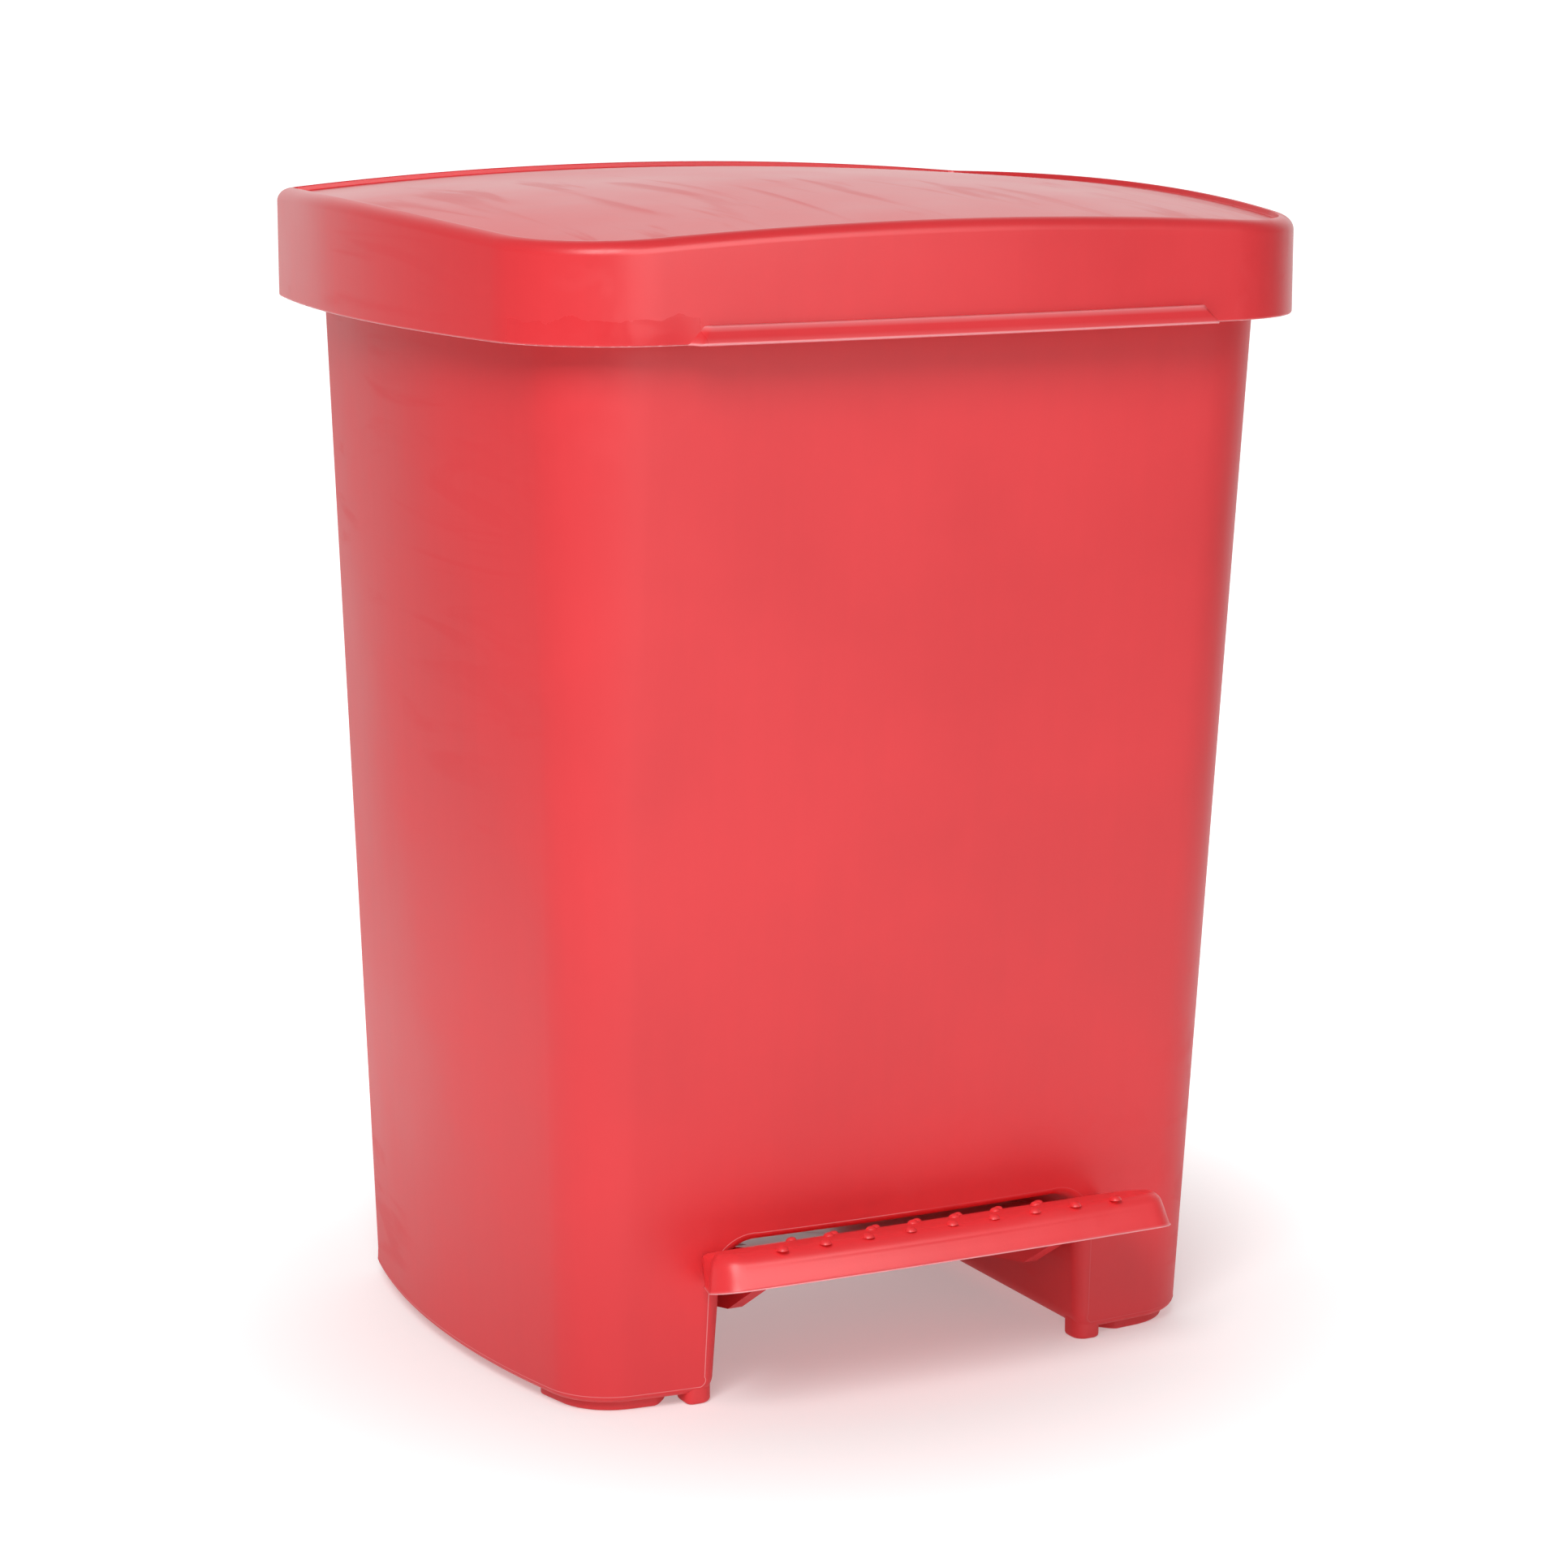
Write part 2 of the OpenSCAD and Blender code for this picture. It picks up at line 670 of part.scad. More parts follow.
foot_block = [14, 15, 24];
module rod_foot() color(dark_red) placed() difference() {
    block([-foot_block.x / 2, rod_y - foot_block.y / 2, bar_z - 7.5],
          [foot_block.x / 2, rod_y + foot_block.y / 2, bar_z - 7.5 + foot_block.z]);
    bar_x(-20, 20, rod_y + 0.35, bar_z, rod_radius + 0.6);
    translate([0, rod_y, bar_z + 7]) cylinder(r = rod_radius + press, h = 30);
}
module lift_rod() color(steel) placed()
    translate([0, rod_y, bar_z + 7.5]) cylinder(r = rod_radius, h = head_z - 3.5 - (bar_z + 7.5));
module rod_head() color(dark_red) placed() difference() {
    block([-5.5, rod_y - 5.5, head_z - 14], [5.5, rod_y + 5.5, head_z + 5.5]);
    bar_x(-10, 10, rod_y, head_z, pin_radius + press);
    translate([0, rod_y, head_z - 20]) cylinder(r = rod_radius + press, h = 17);
}
module head_pin() color(steel) placed() bar_x(-11.5, 11.5, rod_y, head_z, pin_radius);

body_shell();
rear_cover();
cover_screws();
rod_guide_lower();
rod_guide_upper();
hinge_pin_left();
hinge_pin_right();
pedal_axle();
pedal_bearing_left();
pedal_bearing_right();
foot_front_left();
foot_front_right();
foot_rear_left();
foot_rear_right();
bag_ring();
lid_shell();
lift_bracket();
bracket_screws();
pedal_tread();
pedal_arm_left();
pedal_arm_right();
lift_bar();
bar_clips();
lift_rod();
rod_foot();
rod_head();
head_pin();
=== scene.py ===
# Step-on waste bin: smooth moulded shells, a dotted pedal and the steel linkage,
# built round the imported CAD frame. The container and the lid are worked out in
# millimetres in the lid's own frame (the lid's middle at y = 0), the pedal about its
# pivot; Piece.build moves them to their places in metres.
import json
import math

import bpy
import numpy as np
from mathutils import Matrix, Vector
from mathutils.geometry import delaunay_2d_cdt


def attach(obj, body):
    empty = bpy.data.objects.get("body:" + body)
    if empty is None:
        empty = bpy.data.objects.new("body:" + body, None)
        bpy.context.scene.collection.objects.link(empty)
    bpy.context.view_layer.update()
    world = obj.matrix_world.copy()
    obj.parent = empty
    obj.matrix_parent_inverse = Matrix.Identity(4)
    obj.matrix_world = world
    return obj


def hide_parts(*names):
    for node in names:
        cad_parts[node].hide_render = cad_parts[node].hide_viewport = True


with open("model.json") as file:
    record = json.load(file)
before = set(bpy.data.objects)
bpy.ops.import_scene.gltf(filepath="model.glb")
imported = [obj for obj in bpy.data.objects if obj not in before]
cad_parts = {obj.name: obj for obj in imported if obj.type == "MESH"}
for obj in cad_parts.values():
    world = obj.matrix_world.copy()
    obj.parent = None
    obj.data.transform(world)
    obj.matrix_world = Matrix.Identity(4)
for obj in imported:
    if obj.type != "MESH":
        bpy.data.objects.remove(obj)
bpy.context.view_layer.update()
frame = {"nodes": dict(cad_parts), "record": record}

MM = 0.001
LIP_REACH = 5.6
FRAME_SHIFT = LIP_REACH / 2

# Container
BASE_Z, RIM_Z, WALL = 4.2, 422.0, 2.5
BASE = dict(width=286.6, depth=221.8, bows=(15, 9, 5.5), radii=(27, 18), shift=11)
RIM = dict(width=314.8, depth=257.3, bows=(16, 7, 5), radii=(38, 12), shift=-0.65)
EDGE_ROUND = 3.0
RIM_BEAD, RIM_BEAD_HEIGHT, RIM_BEAD_BACK, RIM_BEAD_ROOT, RIM_BEAD_ROUND = 2.2, 8.0, 100.0, -0.8, 0.7
# Tunnel under the container, with rounded edges at both mouths
TUNNEL_HALF, TUNNEL_TOP, TUNNEL_RADIUS, TUNNEL_LEAN = 78.3, 62.4, 13.0, 0.055
TUNNEL_FOOT_RADIUS, INNER_FOOT_RADIUS = 6.5, 2.0
MOUTH_TOP_ROUND, MOUTH_SIDE_ROUND, MOUTH_LOW_ROUND = 3.0, 6.6, 5.2
# Rib pairs on the tunnel's walls, between which the pedal's bearings sit
BEARING_HALF, RIB, RIB_GAP, RIB_FROM, RIB_LOW, RIB_TOP = 12.0, 2.5, 0.3, 72.0, 8.2, 48.0
# Duct for the lift rod, open to the back
DUCT_HALF, DUCT_FRONT = 22.0, 102.0
LEG_WIDTH, LEG_DEPTH, LEG_TOP, LEG_INSET, LEG_MIDDLE, LEG_ROUND = 11.2, 11.5, 14.0, 0.15, 6, 1.6
# Lid
LID = dict(width=339.9, depth=282, bows=(16, 7, 1.5), radii=(50, 9), shift=0)
SKIRT_Z, DOME_TOP, DOME_RADIUS, DOME_Y = 398.0, 449.0, 1650.0, 50.0
LID_WALL, LID_EDGE_ROUND, LID_LOW_ROUND = 2.5, 4.4, 0.7
INNER_LOW_ROUND, INNER_TOP_ROUND = 0.5, 2.5
# The raised edge falls to the recessed panel from its crest, by a round, a step and a round
PANEL_DROP, PANEL_CREST, PANEL_FALL, PANEL_STEP = 2.2, 0.3, 0.55, 0.25
LIP_HALF, LIP_SLOPE, LIP_TOP_REACH, LIP_HEIGHT, LIP_END = 107.6, 5.3, 2.4, 6.2, 3.4
HINGE_Y, HINGE_Z = 131.5, 403.0
KNUCKLE_RADIUS, EAR_PLACES, EAR_WIDTH, EAR_ROOT, EAR_GAP = 4.2, (60, 84), 6, 7, 0.5
# Under the lid: screw bosses for the lift bracket, and ribs that rest on the rim (x, x, y, y)
ROD_Y, BOSS_X, BOSS_LOW, BOSS_OUTER, BOSS_INNER = 113.5, 16, 436.0, 4.0, 1.85
REST_RIBS, REST_GAP = ((80, 82.5, -137.5, -118), (147, 167.0, -30, -27.5)), 2.4
SUNK = 0.3                            # how far ribs and bosses reach into the shell
# Pedal, level and with its pivot at the origin; y counts forward in these values
PIVOT_Y, PIVOT_Z, PEDAL_TILT = 19.0, 25.0, math.radians(10.6)
TREAD_LOW, TREAD_TOP, TREAD_FRONT, TREAD_BACK = -0.3, 13.8, 167.3, 125.5
TREAD_HALF, TREAD_BACK_HALF, TREAD_BOW, TREAD_CORNER = 97.0, 86.0, 5.0, 12.0
TREAD_ROLL, TREAD_BACK_ROLL, TREAD_DRAFT, TREAD_DRAFT_HEIGHT = 5.6, 1.2, 1.9, 9
TREAD_CREST, TREAD_CROWN, TREAD_RISE = 146.5, 210.0, math.radians(3.2)
TREAD_WALL, TREAD_HOLLOW_ROUND = 2.3, 4.0
NECK_HALF, NECK_BACK, NECK_WALL = 67, 68.0, 2.5
# Rows of dots: how many, and how far in front of the pivot; a dot's section as (radius, height)
DOT_PITCH, DOT_ROWS, DOT_SIDES = 17.6, ((9, 161.0), (6, 146.5), (7, 132.5)), 24
DOT_SECTION = ((2.3, -0.3), (2.12, 0.1), (1.98, 0.4), (1.74, 0.76), (1.38, 1.05), (0.9, 1.26), (0.4, 1.36))
DOT_CREST = 1.38
# Feet: crescents between a disc and a hole, placed from their pegs
FOOT_INSET, FOOT_DISC, FOOT_DISC_RADIUS = 4.0, (-1, 2), 23.5
FOOT_HOLE, FOOT_HOLE_RADIUS, FOOT_ROUND = (-16, 18), 18.0, 1.5

# Steps: along the tunnel's section, over a rounded edge, along the lid's outline
DUCT_END, ARCH_TOP, ARCH_CORNER, ARCH_SIDE, ARCH_FOOT = 4, 9, 12, 15, 8
PHI = np.radians([0, 12, 26, 40, 54, 68, 80, 90])
# Reach past the edge's start, lift and pale mark of the moulding flash, and angle; the pale mark is also a
# painted highlight line along the edge's start
EDGE_STEPS = [(0.0, 0.0, 0.0, 0.0), (0.16, 0.09, 1.0, 0.0), (0.42, 0.0, 0.0, 0.0)]
EDGE_STEPS += [(0.0, 0.0, 0.0, phi) for phi in PHI[2:]]
EDGE_FLASH_AND_HIGHLIGHT = np.array([step[2] for step in EDGE_STEPS])[:, None]
LID_STEPS = (40, 30, 48, 16, 40)
OUTER_CELL, INNER_CELL, CELL_TURN, CELL_GAP = 7.0, 9.0, 0.16, 1.2


# ---------- outlines ----------

def arc(centre, radius, start, end, steps):
    """Points on an arc and their outward directions; angles in radians."""
    a = np.linspace(start, end, steps + 1)
    out = np.stack([np.cos(a), np.sin(a)], 1)
    return np.asarray(centre, float) + radius * out, out


def circles_meet(c0, r0, c1, r1, side):
    d = c1 - c0
    length = np.linalg.norm(d)
    e = d / length
    a = (r0 * r0 - r1 * r1 + length * length) / (2 * length)
    h = math.sqrt(r0 * r0 - a * a)
    return c0 + a * e + side * h * np.array([-e[1], e[0]])


def bow_radius(half_chord, bow):
    return (half_chord ** 2 + bow ** 2) / (2 * bow)


def heading(a, b):
    return math.atan2(b[1] - a[1], b[0] - a[0])


def half_outline(shape, inset=0.0, steps=(26, 18, 36, 12, 26)):
    """The +X half of a bowed, round-cornered rectangle, from the front's middle to the back's."""
    a, b = shape["width"] / 2 - inset, shape["depth"] / 2 - inset
    side, front, back = shape["bows"]
    rf, rb = (max(r - inset, 2.0) for r in shape["radii"])
    side_r, front_r, back_r = bow_radius(b, side), bow_radius(a, front), bow_radius(a, back)
    side_c, front_c, back_c = (np.array(c, float)
                               for c in ((a - side_r, 0), (0, front_r - b), (0, b - back_r)))
    cf = circles_meet(side_c, side_r - rf, front_c, front_r - rf, -1)
    cb = circles_meet(side_c, side_r - rb, back_c, back_r - rb, 1)
    f0, f1 = heading(front_c, cf), heading(side_c, cf)
    b0, b1 = heading(side_c, cb), heading(back_c, cb)
    parts = [arc(front_c, front_r, -math.pi / 2, f0, steps[0]), arc(cf, rf, f0, f1, steps[1]),
             arc(side_c, side_r, f1, b0, steps[2]), arc(cb, rb, b0, b1, steps[3]),
             arc(back_c, back_r, b1, math.pi / 2, steps[4])]
    points = np.concatenate([p[0][(i > 0):] for i, p in enumerate(parts)])
    out = np.concatenate([p[1][(i > 0):] for i, p in enumerate(parts)])
    points[[0, -1], 0] = 0
    return points + [0, shape["shift"]], out


def full_outline(shape, inset=0.0, steps=(26, 18, 36, 12, 26)):
    points, out = half_outline(shape, inset, steps)
    flip = np.array([-1, 1])
    return (np.concatenate([points, points[-2:0:-1] * flip]),
            np.concatenate([out, out[-2:0:-1] * flip]))


def inside(points, loop):
    """Which of the points are inside a closed loop."""
    x, y = points[:, 0][:, None], points[:, 1][:, None]
    x0, y0 = loop[:, 0], loop[:, 1]
    x1, y1 = np.roll(x0, -1), np.roll(y0, -1)
    crosses = (y0 > y) != (y1 > y)
    safe = np.where(y1 == y0, 1, y1 - y0)
    return (crosses & (x < (x1 - x0) * (y - y0) / safe + x0)).sum(1) % 2 == 1


def unit(v):
    length = np.linalg.norm(v, axis=-1, keepdims=True)
    return v / np.where(length < 1e-12, 1, length)


def smooth(t):
    return t ** 2 * (3 - 2 * t)


def beside(*columns):
    """Columns of coordinates side by side; a single value serves all rows."""
    return np.stack(np.broadcast_arrays(*columns), 1)


def level(p, z):
    """(x, y) points with a height."""
    return beside(p[:, 0], p[:, 1], z)


def upright(v):
    """(x, z) directions as 3-D ones."""
    return beside(v[:, 0], 0, v[:, 1])


def triangulate(loop, extra=None):
    """Fills a loop, keeping the extra points inside it."""
    points = loop if extra is None else np.concatenate([loop, extra])
    edges = [(i, (i + 1) % len(loop)) for i in range(len(loop))]
    verts, _, faces, *_ = delaunay_2d_cdt([Vector(p) for p in points], edges, [], 0, 1e-6)
    verts, faces = np.array([tuple(v) for v in verts]), np.array(faces)
    return verts, faces[inside(verts[faces].mean(1), loop)]


def facing(p, faces, normals):
    """Turns each triangle to the side of its first corner's normal."""
    v0, v1, v2 = (p[faces[:, i]] for i in range(3))
    wrong = (np.cross(v1 - v0, v2 - v0) * normals[faces[:, 0]]).sum(1) < 0
    return np.where(wrong[:, None], faces[:, ::-1], faces)


# ---------- mesh pieces ----------

class Piece:
    """Collects patches with their own normals and welds them into one mesh."""

    right_flash_and_highlight = 0.2             # how much of the pale mark shows on the right half; the mark is moulding flash and a painted edge highlight, full on the left half, toward the key light

    def __init__(self):
        self.verts, self.faces, self.normals, self.marks, self.count = [], [], [], [], 0

    def add(self, verts, faces, normals, mark=None, mirrored=False):
        verts, normals = np.asarray(verts, float), np.asarray(normals, float)
        mark = np.zeros(len(verts)) if mark is None else np.asarray(mark, float)
        # Pale marks: moulding flash and a painted edge highlight, weaker on the right half
        mark = mark * (self.right_flash_and_highlight if mirrored else 1)
        thirds = np.array([f[:3] for f in faces])
        a, b, c = (verts[thirds[:, i]] for i in range(3))
        if (np.cross(b - a, c - a) * normals[thirds[:, 0]]).sum() < 0:
            faces = [tuple(f)[::-1] for f in faces]
        for flip in ((False, True) if mirrored else (False,)):
            sign = np.array([-1 if flip else 1, 1, 1])
            self.verts.append(verts * sign)
            self.normals.append(normals * sign)
            self.marks.append(mark / self.right_flash_and_highlight if flip else mark)
            self.faces += [tuple(int(i) + self.count for i in (f[::-1] if flip else f)) for f in faces]
            self.count += len(verts)

    def grid(self, p, closed=False, flip=False, normals=None, mark=None, mirrored=False):
        """A patch through rows of points; its outside is on the left of the rows as they rise.
        Normals and marks can be given for the whole patch, for its rows or columns, or for each point."""
        p = np.asarray(p, float)
        rows, cols = p.shape[:2]
        if normals is None:
            along = ((np.roll(p, -1, 1) - np.roll(p, 1, 1)) if closed else np.gradient(p, axis=1))
            normals = unit(np.cross(along, np.gradient(p, axis=0)))
            if flip:
                normals = -normals
        faces = []
        for i in range(rows - 1):
            for j in range(cols if closed else cols - 1):
                a, b = i * cols + j, i * cols + (j + 1) % cols
                faces.append((a, a + cols, b + cols, b) if flip else (a, b, b + cols, a + cols))
        self.add(p.reshape(-1, 3), faces, np.broadcast_to(normals, p.shape).reshape(-1, 3),
                 None if mark is None else np.broadcast_to(mark, p.shape[:2]).reshape(-1), mirrored)

    def flat(self, loop, axis, place, way, mirrored=False):
        """A flat face at a place on an axis, from a loop in its plane; way is -1 or 1 along the axis."""
        verts, faces = triangulate(loop)
        p = np.insert(verts, axis, place, axis=1)
        normals = np.zeros_like(p)
        normals[:, axis] = way
        self.add(p, facing(p, faces, normals), normals, None, mirrored)

    def ends(self, rows, axis, mirrored=False):
        """Flat faces across an axis over the first row and the last."""
        for row, way in ((rows[0], -1.0), (rows[-1], 1.0)):
            self.flat(np.delete(row, axis, 1), axis, row[0, axis], way, mirrored)

    def cap(self, ring, hub, normals, mirrored=False):
        """A fan of triangles between a closed ring and its hub."""
        verts, n = np.concatenate([ring, [hub]]), len(ring)
        self.add(verts, [(i, (i + 1) % n, n) for i in range(n)], np.broadcast_to(normals, verts.shape),
                 None, mirrored)

    def build(self, name, body, nodes, slot, turn=None):
        """Welds the patches and puts them in the scene as one piece in place of the CAD nodes."""
        verts, normals = np.concatenate(self.verts), np.concatenate(self.normals)
        marks = np.concatenate(self.marks)
        if turn is not None:
            verts, normals = turn(verts), turn(normals, True)
        keys = np.round(verts * 1e4).astype(np.int64)
        _, first, weld = np.unique(keys, axis=0, return_index=True, return_inverse=True)
        weld = weld.reshape(-1)
        faces, corner_normals, seen = [], [], set()
        for f in self.faces:
            ring = [(int(weld[i]), i) for i in f]
            ring = [r for k, r in enumerate(ring) if r[0] != ring[k - 1][0]]
            key = tuple(sorted(r[0] for r in ring))
            if len(set(key)) < 3 or key in seen:
                continue
            seen.add(key)
            faces.append([r[0] for r in ring])
            corner_normals += [normals[r[1]] for r in ring]
        mesh = bpy.data.meshes.new(name)
        mesh.from_pydata((verts[first] + [0, FRAME_SHIFT, 0]) * MM, [], faces)
        mesh.polygons.foreach_set("use_smooth", [True] * len(mesh.polygons))
        mesh.normals_split_custom_set([Vector(n) for n in unit(np.array(corner_normals))])
        # Pale mark for each point: moulding flash and painted edge highlights
        flash_and_highlight = mesh.attributes.new("flash_and_highlight", "FLOAT", "POINT")
        values = np.zeros(len(first))
        np.maximum.at(values, weld, marks)
        flash_and_highlight.data.foreach_set("value", values.astype(np.float32))
        obj = bpy.data.objects.new(name, mesh)
        bpy.context.scene.collection.objects.link(obj)
        obj.data.materials.append(MATERIALS[slot])
        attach(obj, body)
        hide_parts(*nodes)


class Wall:
    """The leaning side of the container as a surface over (s, z); s runs from the front's middle."""

    def __init__(self, inset):
        self.low, self.low_out = half_outline(BASE, inset, (60, 40, 90, 30, 60))
        self.high, self.high_out = half_outline(RIM, inset, (60, 40, 90, 30, 60))
        middle = (self.low * 0.9 + self.high * 0.1)
        steps = np.linalg.norm(np.diff(middle, axis=0), axis=1)
        self.s = np.concatenate([[0], np.cumsum(steps)])
        self.split = int(np.argmax(self.low[:, 0]))

    def share(self, z):
        return (np.asarray(z, float) - BASE_Z) / (RIM_Z - BASE_Z)

    def at(self, s, z):
        s, z = np.broadcast_arrays(np.asarray(s, float), np.asarray(z, float))
        pick = lambda a: np.stack([np.interp(s, self.s, a[:, 0]), np.interp(s, self.s, a[:, 1])], -1)
        low, high, t = pick(self.low), pick(self.high), self.share(z)[..., None]
        flat = low * (1 - t) + high * t
        out = unit(pick(self.low_out) * (1 - t) + pick(self.high_out) * t)
        climb = (high - low) / (RIM_Z - BASE_Z)
        n = np.concatenate([out, -(out * climb).sum(-1, keepdims=True)], -1)
        return np.concatenate([flat, z[..., None]], -1), unit(n)

    def find(self, x, z, back=False):
        """s of the point with that x and z on the front, or on the back."""
        x, z = np.broadcast_arrays(np.asarray(x, float), np.asarray(z, float))
        part = slice(None, self.split - 1, -1) if back else slice(self.split + 1)
        found = []
        for xi, zi in zip(x.ravel(), z.ravel()):
            t = self.share(zi)
            row = self.low[:, 0] * (1 - t) + self.high[:, 0] * t
            found.append(np.interp(xi, row[part], self.s[part]))
        return np.array(found).reshape(x.shape)


def arch_contour(half, top, radius, foot, low):
    """The tunnel's section for +X: points, directions into the panel round it, and rounding radii."""
    top_x = half - TUNNEL_LEAN * (top - radius - low) - radius
    xs = np.concatenate([np.linspace(0, DUCT_HALF, DUCT_END + 1),
                         np.linspace(DUCT_HALF, top_x, ARCH_TOP + 1)[1:]])
    corner, corner_out = arc((top_x, top - radius), radius, math.pi / 2, 0, ARCH_CORNER)
    zs = np.linspace(top - radius, low + foot, ARCH_SIDE + 1)[1:]
    end_x = half - TUNNEL_LEAN * foot
    toe, toe_out = arc((end_x + foot, low + foot), foot, math.pi, 1.5 * math.pi, ARCH_FOOT)
    points = np.concatenate([beside(xs, top), corner[1:],
                             beside(half - TUNNEL_LEAN * (zs - low), zs), toe[1:]])
    out = np.concatenate([np.tile([0.0, 1.0], (len(xs), 1)), corner_out[1:],
                          np.tile([1.0, 0.0], (len(zs), 1)), -toe_out[1:]])
    stages = ((MOUTH_TOP_ROUND, MOUTH_SIDE_ROUND, ARCH_CORNER),
              (MOUTH_SIDE_ROUND, MOUTH_LOW_ROUND, ARCH_SIDE),
              (MOUTH_LOW_ROUND, EDGE_ROUND, ARCH_FOOT))
    rounds = [np.full(len(xs), MOUTH_TOP_ROUND)] + [np.linspace(a, b, n + 1)[1:] for a, b, n in stages]
    return points, out, np.concatenate(rounds)


def fill_sheet(piece, wall, loop, cell, flip=False):
    """Fills a region of the wall, given as a loop in (s, z), with the wall's own normals."""
    s_list, out = [0.0], wall.low_out
    while s_list[-1] < wall.s[-1]:
        k = np.searchsorted(wall.s, s_list[-1])
        a, b = max(k - 2, 0), min(k + 2, len(out) - 1)
        bend = np.linalg.norm(out[b] - out[a]) / max(wall.s[b] - wall.s[a], 1e-6)
        s_list.append(s_list[-1] + min(cell, CELL_TURN / max(bend, 1e-6)))
    grid = np.stack(np.meshgrid(s_list, np.arange(BASE_Z, RIM_Z, cell)), -1).reshape(-1, 2)
    grid = grid[inside(grid, loop)]
    near = np.array([np.min(np.hypot(*(loop - g).T)) for g in grid])
    verts, faces = triangulate(loop, grid[near > CELL_GAP])
    p, n = wall.at(verts[:, 0], verts[:, 1])
    n = -n if flip else n
    piece.add(p, facing(p, faces, n), n, None, True)


def between(a, b, step=8):
    n = max(int(math.ceil(abs(b - a) / step)), 1)
    return np.linspace(a, b, n + 1)


def mouth_strip(piece, wall, points, out, rounds, back):
    """The rounded edge of the tunnel's mouth; returns its first line in (s, z) and its rows in 3-D."""
    rows, normals = [], []
    for reach, lift, _, phi in EDGE_STEPS:
        spot = points + out * (rounds * (1 - math.sin(phi)) - reach)[:, None]
        p, n = wall.at(wall.find(spot[:, 0], spot[:, 1], back), spot[:, 1])
        p = p + n * lift
        p[:, 1] += (-1 if back else 1) * rounds * (1 - math.cos(phi))
        rows.append(p)
        normals.append(unit(n * math.cos(phi) + upright(-out) * math.sin(phi)))
    rows = np.array(rows)
    # Pale mark along the edge's start: moulding flash and a painted highlight line
    piece.grid(rows, flip=back, normals=normals, mark=EDGE_FLASH_AND_HIGHLIGHT, mirrored=True)
    first = points + out * rounds[:, None]
    return beside(wall.find(first[:, 0], first[:, 1], back), first[:, 1]), rows


def tunnel_walls(piece, contour, normals, front_edge, back_edge, duct_y, flip=False):
    """The tunnel's top from the front mouth to the duct, and the rest of it to the back mouth."""
    share, n = np.linspace(0, 1, 9)[:, None, None], DUCT_END + 1
    duct_edge = beside(contour[:n, 0], duct_y, contour[:n, 1])
    for a, b, k in ((front_edge[:n], duct_edge, slice(n)),
                    (front_edge[DUCT_END:], back_edge, slice(DUCT_END, None))):
        piece.grid(a[None] * (1 - share) + b[None] * share, flip=flip, normals=normals[k], mirrored=True)


def duct_walls(piece, xs, front, zs, back_y, way):
    """The duct's side up to the back wall and its wall across; way is 1 for the faces seen from outside."""
    side = np.array([beside(xs[-1], front, zs), beside(xs[-1], back_y, zs)])
    piece.grid(side, flip=way < 0, normals=(-way, 0, 0), mirrored=True)
    across = np.array([beside(xs, front, z) for z in zs])
    piece.grid(across, flip=way > 0, normals=(0, way, 0), mirrored=True)


def level_strip(piece, edge, x, way):
    """A level strip between an edge line and the tunnel's foot."""
    line = beside(x, edge[:, 1], edge[:, 2])
    piece.grid(np.array([line, edge]), flip=way < 0, normals=(0, 0, way), mirrored=True)


def outer_shell(piece, wall):
    """The container's outside with its rounded edges; returns its line round the rim."""
    points, out, rounds = arch_contour(TUNNEL_HALF, TUNNEL_TOP, TUNNEL_RADIUS, TUNNEL_FOOT_RADIUS, BASE_Z)
    line_front, mouth_front = mouth_strip(piece, wall, points, out, rounds, False)
    line_back, mouth_back = mouth_strip(piece, wall, *(v[DUCT_END:] for v in (points, out, rounds)), True)
    gap = 0.8                         # free distance between a corner point and its neighbours

    # Rounded lower edge from the front mouth's foot to the back mouth's
    s0, s1 = line_front[-1, 0], line_back[-1, 0]
    s_low = np.unique(np.concatenate([[s0, s1], wall.s[(wall.s > s0 + gap) & (wall.s < s1 - gap)]]))
    rows, normals = [], []
    for reach, lift, _, phi in EDGE_STEPS:
        p, n = wall.at(s_low, BASE_Z + (EDGE_ROUND * (1 - math.sin(phi)) - reach))
        rows.append(p + n * lift - unit(n * [1, 1, 0]) * EDGE_ROUND * (1 - math.cos(phi)))
        normals.append(unit(n * math.cos(phi) + np.array([0, 0, -1.0]) * math.sin(phi)))
    rows = np.array(rows)
    rows[:, 0], rows[:, -1] = mouth_front[:, -1], mouth_back[:, -1]
    # The same pale mark, fainter, along the lower edge: moulding flash and a painted highlight line
    piece.grid(rows, flip=True, normals=normals, mark=0.6 * EDGE_FLASH_AND_HIGHLIGHT, mirrored=True)

    s_duct = wall.find(DUCT_HALF, RIM_Z, True)
    z_duct = between(TUNNEL_TOP + MOUTH_TOP_ROUND, RIM_Z)[1:]
    s_rim = wall.s[wall.s < s_duct - gap]
    loop = [line_front, beside(s_low[1:-1], BASE_Z + EDGE_ROUND), line_back[::-1],
            beside(wall.find(DUCT_HALF, z_duct, True), z_duct), beside(s_rim[::-1], RIM_Z),
            beside(0, between(RIM_Z, line_front[0, 1])[1:-1])]
    fill_sheet(piece, wall, np.concatenate(loop), OUTER_CELL)
    tunnel_walls(piece, points, upright(-out), mouth_front[-1], mouth_back[-1], DUCT_FRONT)
    z_side = np.append(TUNNEL_TOP + MOUTH_TOP_ROUND * (1 - np.sin(PHI[::-1])), z_duct)
    sink = [MOUTH_TOP_ROUND * (1 - math.cos(phi)) for phi in PHI[::-1]] + [0.0] * len(z_duct)
    back_y = wall.at(wall.find(DUCT_HALF, z_side, True), z_side)[0][:, 1] - sink
    duct_walls(piece, points[:DUCT_END + 1, 0], DUCT_FRONT, z_side, back_y, 1.0)
    level_strip(piece, rows[-1], points[-1, 0], -1.0)
    return wall.at(np.append(s_rim, s_duct), RIM_Z)[0]


